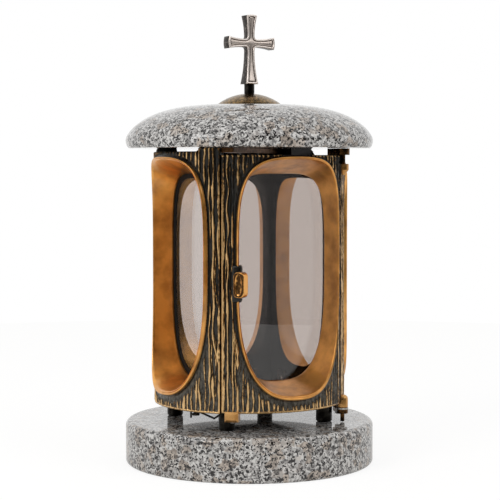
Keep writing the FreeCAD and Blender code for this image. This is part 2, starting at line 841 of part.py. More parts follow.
def catch_block():
    half = catch_width / 2
    solid = block((-half, -catch_outer, catch_bottom), (half, -catch_inner, catch_top))
    front = [e for e in solid.Edges if abs(e.BoundBox.YMin + catch_outer) < 0.1
             and e.BoundBox.YLength < 0.1]
    solid = solid.makeChamfer(catch_bevel, front)
    above = rod(drum_radius + catch_clearance, door_bottom - 0.05, catch_top + 1)
    solid = turned(solid, catch_azimuth).cut(above)
    place = spot(catch_screw_orbit, catch_azimuth)
    return solid.cut(rod(catch_screw_radius, catch_bottom - 1, door_bottom + 1, place))


def catch_block_screw():
    place = spot(catch_screw_orbit, catch_azimuth)
    head_foot = FreeCAD.Vector(place.x, place.y, catch_bottom - catch_screw_head_height)
    head = Part.makeCone(catch_screw_head - 0.8, catch_screw_head, catch_screw_head_height, head_foot)
    return rod(catch_screw_radius, catch_bottom - 1, door_bottom + lower_screw_depth, place).fuse(head)


def catch_spring():
    """Wire spring under the frame: an upright leg, a run past its screw, and a hooked tip."""
    path = [spot(*corner) for corner in spring_path]
    pieces = []
    for start, end in zip(path, path[1:]):
        pieces.append(leaning_rod(spring_radius, start, end))
    for corner in path[1:-1]:
        pieces.append(Part.makeSphere(spring_radius, corner))
    return pieces[0].fuse(pieces[1:])


def catch_spring_screw():
    place = spring_screw_place()
    head = rod(spring_screw_head, drum_bottom - 3.2, drum_bottom - 1.8, place)
    return head.fuse(rod(spring_screw_radius, drum_bottom - 2.5, drum_bottom + spring_screw_depth, place))


# Candle tray

def candle_tray():
    rim = tray_rim
    top = floor_top + tray_thickness
    dish = spindle([(0, floor_top), (tray_radius - 2, floor_top), (tray_radius, floor_top + 2),
                    (tray_radius, top + rim), (tray_radius - 1.2, top + rim),
                    (tray_radius - 2.4, top), (0, top)])
    return dish.cut(countersunk_screw(tray_screw_radius, 20, top, FreeCAD.Vector(0, 0, 0)))


def tray_screw():
    top = floor_top + tray_thickness
    return countersunk_screw(tray_screw_radius, 12, top, FreeCAD.Vector(0, 0, 0))


def around_frame(solids):
    """Copies of front solids on the three fixed sides."""
    return grouped([turned(solid, azimuth) for azimuth in (90, 180, 270) for solid in solids])


pieces = {
    "granite_base": granite_base,
    "granite_roof": granite_roof,
    "lantern_frame": lantern_frame,
    "door_leaf": door_leaf,
    "door_glass": pane,
    "right_glass": lambda: turned(pane(), 90),
    "back_glass": lambda: turned(pane(), 180),
    "left_glass": lambda: turned(pane(), 270),
    "door_glass_seal": lambda: pane_seal(door_seal_margin),
    "frame_glass_seals": lambda: around_frame([pane_seal(frame_seal_margin)]),
    "door_glass_clips": lambda: grouped(pane_clips()),
    "frame_glass_clips": lambda: around_frame(pane_clips()),
    "door_clip_screws": lambda: grouped(clip_screws()),
    "frame_clip_screws": lambda: around_frame(clip_screws()),
    "upper_hinge_bracket": upper_hinge_bracket,
    "lower_hinge_bracket": lower_hinge_bracket,
    "hinge_bracket_screws": hinge_bracket_screws,
    "upper_hinge_pin": upper_hinge_pin,
    "lower_hinge_pin": lower_hinge_pin,
    "hinge_washer": hinge_washer,
    "door_knob": door_knob,
    "knob_nut": knob_nut,
    "catch_block": catch_block,
    "catch_block_screw": catch_block_screw,
    "catch_spring": catch_spring,
    "catch_spring_screw": catch_spring_screw,
    "base_spacers": base_spacers,
    "base_washers": base_washers,
    "base_bolts": base_bolts,
    "roof_bridge": roof_bridge,
    "bridge_screws": bridge_screws,
    "roof_rosette": roof_rosette,
    "cross_stem": cross_stem,
    "cross": cross,
    "tie_rod": tie_rod,
    "tie_washer": tie_washer,
    "tie_nut": tie_nut,
    "candle_tray": candle_tray,
    "tray_screw": tray_screw,
}

for name, make in pieces.items():
    shape = make()
    print(name, "valid", shape.isValid(), "solids", len(shape.Solids), "volume", round(shape.Volume))
    shape.exportStep("parts/" + name + ".step")
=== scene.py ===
"""Grave lantern: cast bronze drum with four funnel windows between two granite slabs.

Metres in Blender, millimetres in every size field. +Z is up, the door faces -Y, and an azimuth is in
degrees from -Y, positive towards +X, where the hinge is.
"""

from __future__ import annotations

import json
import logging
import math
from dataclasses import dataclass, field
from enum import Enum

import bmesh
import bpy
import numpy as np
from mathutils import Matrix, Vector

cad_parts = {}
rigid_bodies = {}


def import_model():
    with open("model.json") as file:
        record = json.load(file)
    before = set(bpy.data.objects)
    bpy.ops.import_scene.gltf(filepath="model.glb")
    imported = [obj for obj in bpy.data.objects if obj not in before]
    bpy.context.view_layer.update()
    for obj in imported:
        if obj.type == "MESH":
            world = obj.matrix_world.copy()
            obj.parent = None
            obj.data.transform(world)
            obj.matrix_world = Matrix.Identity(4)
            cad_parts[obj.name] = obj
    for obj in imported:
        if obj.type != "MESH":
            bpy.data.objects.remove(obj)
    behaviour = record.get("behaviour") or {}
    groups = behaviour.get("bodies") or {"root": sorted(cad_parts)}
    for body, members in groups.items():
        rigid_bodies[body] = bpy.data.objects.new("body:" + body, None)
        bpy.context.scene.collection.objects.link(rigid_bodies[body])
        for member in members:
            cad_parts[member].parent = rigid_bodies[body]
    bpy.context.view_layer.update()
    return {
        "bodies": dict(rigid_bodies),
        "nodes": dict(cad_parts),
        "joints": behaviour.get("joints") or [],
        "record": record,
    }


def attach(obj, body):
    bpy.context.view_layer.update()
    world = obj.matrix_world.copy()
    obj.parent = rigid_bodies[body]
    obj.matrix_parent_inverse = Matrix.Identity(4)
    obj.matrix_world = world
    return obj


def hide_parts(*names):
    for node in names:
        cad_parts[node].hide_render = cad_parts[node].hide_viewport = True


MM = 0.001
WAVE = 6.28  # Phase of one whole wave, in radians
WELD_MM = 0.02
LOG = logging.getLogger("grave_lantern")

Array = np.ndarray
Thing = bpy.types.Object
Material = bpy.types.Material
Node = bpy.types.Node
Pair = tuple[float, float]
Triple = tuple[float, float, float]
Stops = tuple[tuple[float, str], ...]
Outline = tuple[Pair, ...]


def linear(code: str) -> tuple[float, float, float, float]:
    """Turns an sRGB hex colour into linear light.

    Args:
        code: Colour such as "#c08a4a".

    Returns:
        Linear red, green and blue with an alpha of one.
    """
    channels = [int(code[place:place + 2], 16) / 255 for place in (1, 3, 5)]
    light = [c / 12.92 if c <= 0.04045 else ((c + 0.055) / 1.055) ** 2.4 for c in channels]
    return (*light, 1.0)


def cells(size_mm: float) -> float:
    """Texture scale, in cells for each metre, at which one cell of a pattern is the given size."""
    return 1.0 / (size_mm * MM)


def around(radius: float, azimuth: float) -> Pair:
    """Place in the horizontal plane at a radius and an azimuth."""
    turn = math.radians(azimuth)
    return radius * math.sin(turn), -radius * math.cos(turn)


class Shading:
    """Node tree of a material or of the world, built node by node."""

    def __init__(self, owner: str | bpy.types.World) -> None:
        """Starts an empty tree.

        Args:
            owner: Name of a new material, or the world.
        """
        named = isinstance(owner, str)
        self.owner = bpy.data.materials.new(owner) if named else owner
        self.owner.use_nodes = True
        self.tree = self.owner.node_tree
        self.tree.nodes.clear()
        self.output = self.add("OutputMaterial" if named else "OutputWorld")
        self.where = self.add("TexCoord").outputs
        self.place = self.where["Object"]

    def add(self, kind: str, inputs: dict | None = None, stops: Stops = (), **settings: object) -> Node:
        """Adds one node with its settings, its input values and its links.

        In a MapRange, inputs 1 and 2 are the range that is read and 3 and 4 the range that is given. In a
        Mix, 2 and 3 are its two numbers and 6 and 7 its two colours.

        Args:
            kind: Blender's identifier of the node, without "ShaderNode".
            inputs: Input name or number to a value, or to the node or output socket that feeds it.
            stops: Positions and hex colours, for a colour ramp.
            settings: Properties of the node.

        Returns:
            The new node.
        """
        node = self.tree.nodes.new("ShaderNode" + kind)
        for name, value in settings.items():
            setattr(node, name, value)
        for socket, value in (inputs or {}).items():
            if isinstance(value, Node):
                value = value.outputs[0]
            if isinstance(value, bpy.types.NodeSocket):
                self.tree.links.new(value, node.inputs[socket])
            else:
                node.inputs[socket].default_value = value
        for number, (position, code) in enumerate(stops):
            elements = node.color_ramp.elements
            stop = elements[number] if number < 2 else elements.new(position)
            stop.position = position
            stop.color = linear(code)
        return node

    def finish(self, kind: str, inputs: dict) -> Material | bpy.types.World:
        """Adds the last node, joins it to the output and gives back the owner."""
        self.tree.links.new(self.add(kind, inputs).outputs[0], self.output.inputs[0])
        return self.owner


# Meshes


def sheet_faces(rows: int, columns: int, close_rows: bool) -> Array:
    """Lists the quads of a grid of points that is stored row by row, each row a closed ring.

    Args:
        rows: Number of rows of points.
        columns: Number of points in a row.
        close_rows: Whether the last row joins the first.

    Returns:
        Array of quads, four point numbers each, in row-major order.
    """
    bands = rows if close_rows else rows - 1
    row, column = np.meshgrid(np.arange(bands), np.arange(columns), indexing="ij")
    below = (row + 1) % rows
    beside = (column + 1) % columns
    corners = ((row, column), (row, beside), (below, beside), (below, column))
    return np.stack([one * columns + other for one, other in corners], axis=-1).reshape(-1, 4)


def turned(points: Array, azimuth: float) -> Array:
    """Turns points about the axis.

    Args:
        points: Rows of X, Y and Z.
        azimuth: Angle in degrees.

    Returns:
        The turned points.
    """
    turn = math.radians(azimuth)
    across, deep, up = points.reshape(-1, 3).T
    return np.stack([across * math.cos(turn) - deep * math.sin(turn),
                     across * math.sin(turn) + deep * math.cos(turn), up], -1)


def polar(azimuth: Array, up: Array, radius: Array) -> Array:
    """Points at a radius, an azimuth in radians and a height."""
    return np.stack([radius * np.sin(azimuth), -radius * np.cos(azimuth), up], -1)


def smoothstep(low: float, high: float, value: Array) -> Array:
    """Smooth rise from 0 at low to 1 at high."""
    share = np.clip((value - low) / (high - low), 0.0, 1.0)
    return share * share * (3 - 2 * share)


def new_object(name: str, points: Array, faces: list[list[int]]) -> Thing:
    """Makes a mesh object in the scene.

    Args:
        name: Name of the object.
        points: Points in millimetres.
        faces: Faces as lists of point numbers.

    Returns:
        The new object, in metres.
    """
    mesh = bpy.data.meshes.new(name)
    mesh.from_pydata((np.asarray(points, float).reshape(-1, 3) * MM).tolist(), [], faces)
    mesh.update()
    thing = bpy.data.objects.new(name, mesh)
    bpy.context.scene.collection.objects.link(thing)
    return thing


def turn_outwards(mesh: bpy.types.Mesh, weld_mm: float = 0.0) -> None:
    """Turns every face outwards.

    Args:
        mesh: Mesh that is changed.
        weld_mm: Distance up to which points become one first, or 0.
    """
    work = bmesh.new()
    work.from_mesh(mesh)
    if weld_mm > 0:
        bmesh.ops.remove_doubles(work, verts=work.verts, dist=weld_mm * MM)
    bmesh.ops.recalc_face_normals(work, faces=work.faces)
    work.to_mesh(mesh)
    work.free()


def smooth(mesh: bpy.types.Mesh, sharp_degrees: float) -> None:
    """Shades a mesh smooth, with edges above an angle drawn sharp."""
    mesh.shade_smooth()
    mesh.set_sharp_from_angle(angle=math.radians(sharp_degrees))


def solid_object(name: str, points: Array, faces: list[list[int]], sharp_degrees: float = 35.0) -> Thing:
    """Makes a smooth-shaded solid with sharp edges at corners.

    Args:
        name: Name of the object.
        points: Points in millimetres.
        faces: Faces as lists of point numbers.
        sharp_degrees: Angle above which an edge is drawn sharp.

    Returns:
        The new object.
    """
    thing = new_object(name, points, faces)
    turn_outwards(thing.data)
    smooth(thing.data, sharp_degrees)
    return thing


def lathe(name: str, outline: Outline, centre: Pair, steps: int) -> Thing:
    """Turns an outline of (radius, height) pairs that starts and ends on the axis.

    Args:
        name: Name of the object.
        outline: Pairs in millimetres; the first and last have radius zero.
        centre: Place of the axis.
        steps: Number of steps round the axis.

    Returns:
        The turned solid.
    """
    ring = np.array(outline[1:-1], float)
    angle = np.arange(steps) * 2 * math.pi / steps
    points = np.empty((len(ring), steps, 3))
    points[..., 0] = centre[0] + ring[:, :1] * np.cos(angle)
    points[..., 1] = centre[1] + ring[:, :1] * np.sin(angle)
    points[..., 2] = ring[:, 1:]
    faces = sheet_faces(len(ring), steps, False).tolist()
    flat = points.reshape(-1, 3).tolist()
    for row, (_, height) in ((0, outline[0]), (len(ring) - 1, outline[-1])):
        hub = len(flat)
        flat.append([*centre, height])
        faces += [[row * steps + k, row * steps + (k + 1) % steps, hub] for k in range(steps)]
    return solid_object(name, np.array(flat), faces)


def rod(radius: float, low: float, high: float) -> Outline:
    """Outline of a plain upright cylinder."""
    return (0.0, low), (radius, low), (radius, high), (0.0, high)


def rounded_box(name: str, size: Triple, rounding: float, azimuth: float, orbit: float,
                height: float) -> Thing:
    """Block with rounded edges that faces away from the axis.

    Args:
        name: Name of the object.
        size: Width across, depth along the radius and height, in millimetres.
        rounding: Radius of the edges, or 0.
        azimuth: Azimuth of its middle.
        orbit: Distance of its middle from the axis.
        height: Height of its middle.

    Returns:
        The block.
    """
    work = bmesh.new()
    bmesh.ops.create_cube(work, size=1.0)
    bmesh.ops.scale(work, vec=size, verts=work.verts)
    if rounding > 0:
        bmesh.ops.bevel(work, geom=work.edges[:], offset=rounding, segments=4, profile=0.5, affect="EDGES")
    points = np.array([corner.co[:] for corner in work.verts]) + (0.0, -orbit, height)
    faces = [[corner.index for corner in face.verts] for face in work.faces]
    work.free()
    return solid_object(name, turned(points, azimuth), faces)


def cut_away(thing: Thing, tool: Thing) -> None:
    """Cuts a closed mesh with another closed mesh, which is then removed.

    Args:
        thing: Mesh that is cut.
        tool: Mesh that cuts it.
    """
    step = thing.modifiers.new("cut", "BOOLEAN")
    step.solver = "MANIFOLD"
    step.operation = "DIFFERENCE"
    step.object = tool
    bpy.context.view_layer.update()
    graph = bpy.context.evaluated_depsgraph_get()
    made = bpy.data.meshes.new_from_object(thing.evaluated_get(graph))
    thing.modifiers.clear()
    before = thing.data
    thing.data = made
    bpy.data.meshes.remove(before)
    bpy.data.objects.remove(tool)


def mark_wear_and_light(mesh: bpy.types.Mesh, rows_of_wear_and_light: list[Array]) -> None:
    """Stores how far each point is rubbed bare, plus painted glints and shadow, for the finishes."""
    attribute = mesh.attributes.new("wear_and_painted_light", "FLOAT", "POINT")
    attribute.data.foreach_set("value", np.concatenate(rows_of_wear_and_light).astype(np.float32))


# Finishes


@dataclass(frozen=True)
class PolishedGranite:
    """Light grey granite, sawn and polished: milky ground, warm feldspar, black mica, mirror gloss."""

    grain_mm: float = 1.6
    speck_mm: float = 0.9
    patch_mm: float = 6.0
    ragged_mm: float = 1.5
    roughness: float = 0.05
    ior: float = 1.55
    minerals: Stops = (
        (0.0, "#2a2827"), (0.11, "#767472"), (0.24, "#a3a09e"), (0.46, "#bebcb9"), (0.72, "#d8d6d3"))
    feldspar: str = "#e6dacf"
    mica: str = "#191716"

    def material(self) -> Material:
        """Builds the node material.

        Returns:
            The material.
        """
        tree = Shading("polished_granite")
        # Grains have ragged edges, so the cells are pulled about by a fine noise
        ragged = tree.add("TexNoise", {"Vector": tree.place, "Scale": cells(self.grain_mm), "Detail": 3.0})
        centred = tree.add("VectorMath", {0: ragged.outputs["Color"], 1: (0.5, 0.5, 0.5)},
                           operation="SUBTRACT")
        pull = tree.add("VectorMath", {0: centred, "Scale": self.ragged_mm * MM}, operation="SCALE")
        spot = tree.add("VectorMath", {0: tree.place, 1: pull})
        grains, patches, specks = (
            tree.add("SeparateColor", {"Color": tree.add("TexVoronoi", {
                "Vector": spot, "Scale": cells(size)}).outputs["Color"]})
            for size in (self.grain_mm, self.patch_mm, self.speck_mm))
        ground = tree.add("ValToRGB", {0: grains}, stops=self.minerals)
        ground.color_ramp.interpolation = "CONSTANT"
        warm = tree.add("MapRange", {0: patches.outputs[1], 1: 0.68, 2: 0.85})
        toned = tree.add("Mix", {0: warm, 6: ground, 7: linear(self.feldspar)},
                         data_type="RGBA", blend_type="MULTIPLY")
        dark = tree.add("Math", {0: specks.outputs[2], 1: 0.8}, operation="GREATER_THAN")
        colour = tree.add("Mix", {0: dark, 6: toned.outputs[2], 7: linear(self.mica)}, data_type="RGBA")
        return tree.finish("BsdfPrincipled", {
            "Base Color": colour.outputs[2], "Roughness": self.roughness, "IOR": self.ior})


@dataclass(frozen=True)
class PatinatedBronze:
    """Cast bronze under clear lacquer, blackened in its hollows and filed bright gold on high places.

    The hollows turn from black-brown to grey near the foot: partly dust, partly a painted reflection
    of the pale floor.
    """

    # From the bottom of a pit over hollow, slope and shoulder to the crest of a strip
    patina: Stops = (
        (0.0, "#0c0a04"), (0.14, "#19150a"), (0.5, "#241c0f"), (0.62, "#8a6231"), (0.8, "#e2ba80"))
    # Grey of dust, partly a painted reflection of the pale floor
    dust_and_floor_reflection: str = "#6d675b"
    dust_and_reflection_heights_mm: Pair = (112.0, 62.0)
    grain_mm: float = 0.5
    ragged_mm: float = 0.8
    blotch_mm: float = 1.8
    lacquer: float = 0.4

    def material(self) -> Material:
        """Builds the node material.

        Returns:
            The material.
        """
        tree = Shading("cast_bronze_patinated")
        wear_and_painted_light = tree.add("Attribute", attribute_name="wear_and_painted_light").outputs["Fac"]
        # The edge between patina and bright metal is ragged at the size of the casting sand
        drawn = tree.add("Mapping", {"Vector": tree.place, "Scale": (1.0, 1.0, 0.4)})
        ragged = tree.add("TexNoise", {"Vector": drawn, "Scale": cells(self.ragged_mm), "Detail": 3.0,
                                       "Roughness": 0.6})
        shift = tree.add("MapRange", {0: ragged, 1: 0.25, 2: 0.75, 3: -0.2, 4: 0.2})
        level = tree.add("Math", {0: wear_and_painted_light, 1: shift}, operation="ADD")
        bare = tree.add("ValToRGB", {0: level}, stops=self.patina)
        height = tree.add("SeparateXYZ", {0: tree.place}).outputs[2]
        start, full = self.dust_and_reflection_heights_mm
        low = tree.add("MapRange", {0: height, 1: start * MM, 2: full * MM, 3: 0.0, 4: 0.8})
        hollow = tree.add("MapRange", {0: level, 1: 0.15, 2: 0.5, 3: 1.0, 4: 0.1})
        # Dust and a painted reflection of the pale floor lighten the low hollows in blotches,
        # leaving the deeper casting pits black
        pitted = tree.add("TexNoise", {"Vector": drawn, "Scale": cells(self.blotch_mm), "Detail": 4.0,
                                       "Roughness": 0.7})
        share = tree.add("MapRange", {0: pitted, 1: 0.4, 2: 0.6, 3: 0.15, 4: 1.0})
        low_hollow_share = tree.add("Math", {0: low, 1: hollow}, operation="MULTIPLY")
        dust_and_reflection_share = tree.add("Math", {0: low_hollow_share, 1: share}, operation="MULTIPLY")
        colour = tree.add("Mix", {0: dust_and_reflection_share, 6: bare, 7: linear(self.dust_and_floor_reflection)}, data_type="RGBA")
        metal = tree.add("MapRange", {0: level, 1: 0.3, 2: 0.65, 3: 0.6, 4: 1.0})
        rough = tree.add("MapRange", {0: level, 1: 0.2, 2: 0.8, 3: 0.45, 4: 0.3})
        grain = tree.add("TexNoise", {"Vector": tree.place, "Scale": cells(self.grain_mm), "Detail": 2.0})
        bump = tree.add("Bump", {"Height": grain, "Strength": 0.4, "Distance": 0.12 * MM})
        # The lacquer lies over the casting grains, so it glints in small spots
        skin = tree.add("Bump", {"Height": ragged, "Strength": 0.9, "Distance": 0.3 * MM})
        return tree.finish("BsdfPrincipled", {
            "Base Color": colour.outputs[2], "Metallic": metal, "Roughness": rough, "Normal": bump,
            "Coat Weight": self.lacquer, "Coat Roughness": 0.07, "Coat Normal": skin})


@dataclass(frozen=True)
class SatinBronze:
    """Cast bronze polished by hand under lacquer: warm gold, faint rubbing marks, some tarnish."""

    name: str = "bronze_hand_polished"
    bright: str = "#efae59"
    tarnish: str = "#bb8140"
    roughness: float = 0.36
    lacquer: float = 0.6
    cloud_mm: float = 12.0
    mark_mm: float = 2.4
    flat_mm: float = 11.0

    def material(self) -> Material:
        """Builds the node material.

        Returns:
            The material.
        """
        tree = Shading(self.name)
        stretched = tree.add("Mapping", {"Vector": tree.place, "Scale": (1.0, 1.0, 6.0)})
        cloud = tree.add("TexNoise", {"Vector": tree.place, "Scale": cells(self.cloud_mm), "Detail": 5.0})
        colour = tree.add("ValToRGB", {0: cloud}, stops=((0.3, self.tarnish), (0.62, self.bright)))
        marks = tree.add("TexNoise", {"Vector": stretched, "Scale": cells(self.mark_mm), "Detail": 3.0})
        rough = tree.add("MapRange", {0: marks, 1: 0.3, 2: 0.7, 3: self.roughness - 0.05,
                                      4: self.roughness + 0.08})
        # The file left shallow flats, which break the reflections into bands
        flats = tree.add("TexNoise", {"Vector": tree.place, "Scale": cells(self.flat_mm), "Detail": 2.0})
        waves = tree.add("Bump", {"Height": flats, "Strength": 0.5, "Distance": 0.6 * MM})
        bump = tree.add("Bump", {"Height": marks, "Strength": 0.15, "Distance": 0.1 * MM, "Normal": waves})
        return tree.finish("BsdfPrincipled", {
            "Base Color": colour, "Metallic": 1.0, "Roughness": rough, "Normal": bump,
            "Coat Weight": self.lacquer, "Coat Roughness": 0.12})


@dataclass(frozen=True)
class TurnedMetal:
    """Small metal parts: even colour broken by fine blotches and a soft satin gloss."""

    name: str
    light: str
    dark: str
    roughness: float
    blotch_mm: float = 3.0

    def material(self) -> Material:
        """Builds the node material.

        Returns:
            The material.
        """
        tree = Shading(self.name)
        cloud = tree.add("TexNoise", {"Vector": tree.place, "Scale": cells(self.blotch_mm), "Detail": 4.0})
        colour = tree.add("ValToRGB", {0: cloud}, stops=((0.35, self.dark), (0.65, self.light)))
        rough = tree.add("MapRange", {0: cloud, 1: 0.3, 2: 0.7, 3: self.roughness + 0.07,
                                      4: self.roughness - 0.05})
        bump = tree.add("Bump", {"Height": cloud, "Strength": 0.1, "Distance": 0.1 * MM})
        return tree.finish("BsdfPrincipled", {
            "Base Color": colour, "Metallic": 1.0, "Roughness": rough, "Normal": bump})


@dataclass(frozen=True)
class DullBlack:
    """Nearly black surface without gloss, clouded by a faint bloom."""

    name: str
    shade: str
    bloom: str
    level: float
    cloud_mm: float
    roughness: float
    specular: float

    def material(self) -> Material:
        """Builds the node material.

        Returns:
            The material.
        """
        tree = Shading(self.name)
        cloud = tree.add("TexNoise", {"Vector": tree.place, "Scale": cells(self.cloud_mm), "Detail": 4.0})
        colour = tree.add("ValToRGB", {0: cloud}, stops=((0.3, self.shade), (self.level, self.bloom)))
        return tree.finish("BsdfPrincipled", {
            "Base Color": colour, "Roughness": self.roughness, "Specular IOR Level": self.specular})


@dataclass(frozen=True)
class SilveredBronze:
    """Cast bronze washed pinkish silver: bright border, black-grey flanks, painted shadow in the groove."""

    # From the painted shadow in the groove and the flanks to panel and border
    wash_and_shade: Stops = ((0.1, "#3f3833"), (0.42, "#2b2724"), (0.6, "#eadace"), (0.9, "#fff4ec"))
    grain_mm: float = 1.2
    roughness: float = 0.34

    def material(self) -> Material:
        """Builds the node material.

        Returns:
            The material.
        """
        tree = Shading("bronze_silvered_cast")
        wear_and_painted_light = tree.add("Attribute", attribute_name="wear_and_painted_light").outputs["Fac"]
        cloud = tree.add("TexNoise", {"Vector": tree.place, "Scale": cells(self.grain_mm), "Detail": 4.0})
        shift = tree.add("MapRange", {0: cloud, 1: 0.3, 2: 0.7, 3: -0.07, 4: 0.07})
        level = tree.add("Math", {0: wear_and_painted_light, 1: shift}, operation="ADD")
        colour = tree.add("ValToRGB", {0: level}, stops=self.wash_and_shade)
        bump = tree.add("Bump", {"Height": cloud, "Strength": 0.3, "Distance": 0.15 * MM})
        return tree.finish("BsdfPrincipled", {
            "Base Color": colour, "Metallic": 1.0, "Roughness": self.roughness, "Normal": bump})


@dataclass(frozen=True)
class GrippedLitBronze:
    """Knob rubbed by fingers: dark brown patina left in the face, gold rubbed bright on edge and side.

    The gold on edge and side is partly a painted highlight.
    """

    facing: float = -60.0
    patina: str = "#46301b"
    gold: str = "#e0a45c"
    cloud_mm: float = 2.0
    roughness: float = 0.24

    def material(self) -> Material:
        """Builds the node material.

        Returns:
            The material.
        """
        tree = Shading("bronze_grip_rubbed_highlit")
        cloud = tree.add("TexNoise", {"Vector": tree.place, "Scale": cells(self.cloud_mm), "Detail": 4.0})
        normal = tree.add("NewGeometry").outputs["Normal"]
        # Painted highlight: faces turned away from the facing azimuth are drawn gold, the face towards it
        # keeps its patina
        towards = (*around(1.0, self.facing), 0.0)
        face = tree.add("VectorMath", {0: normal, 1: towards}, operation="DOT_PRODUCT")
        shift = tree.add("MapRange", {0: cloud, 1: 0.3, 2: 0.7, 3: -0.08, 4: 0.08})
        level = tree.add("Math", {0: face.outputs["Value"], 1: shift}, operation="ADD")
        colour = tree.add("ValToRGB", {0: level}, stops=((0.84, self.gold), (0.97, self.patina)))
        return tree.finish("BsdfPrincipled", {
            "Base Color": colour, "Metallic": 1.0, "Roughness": self.roughness})


@dataclass(frozen=True)
class SmokedGlass:
    """Float glass tinted brown-grey, flat and glossy; light passes it without casting a hard shadow."""

    tint: str = "#d8d1cd"
    ior: float = 1.5
    wave_mm: float = 60.0

    def material(self) -> Material:
        """Builds the node material.

        Returns:
            The material.
        """
        tree = Shading("smoked_float_glass")
        wave = tree.add("TexNoise", {"Vector": tree.place, "Scale": cells(self.wave_mm), "Detail": 1.0})
        # Float glass is never quite flat, so its reflections swim a little
        bump = tree.add("Bump", {"Height": wave, "Strength": 0.2, "Distance": 0.3 * MM})
        glass = tree.add("BsdfPrincipled", {
            "Base Color": linear(self.tint), "Roughness": 0.0, "IOR": self.ior, "Transmission Weight": 1.0,
            "Normal": bump})
        clear = tree.add("BsdfTransparent", {"Color": linear(self.tint)})
        light = tree.add("LightPath").outputs["Is Shadow Ray"]
        return tree.finish("MixShader", {0: light, 1: glass, 2: clear})


# The drum


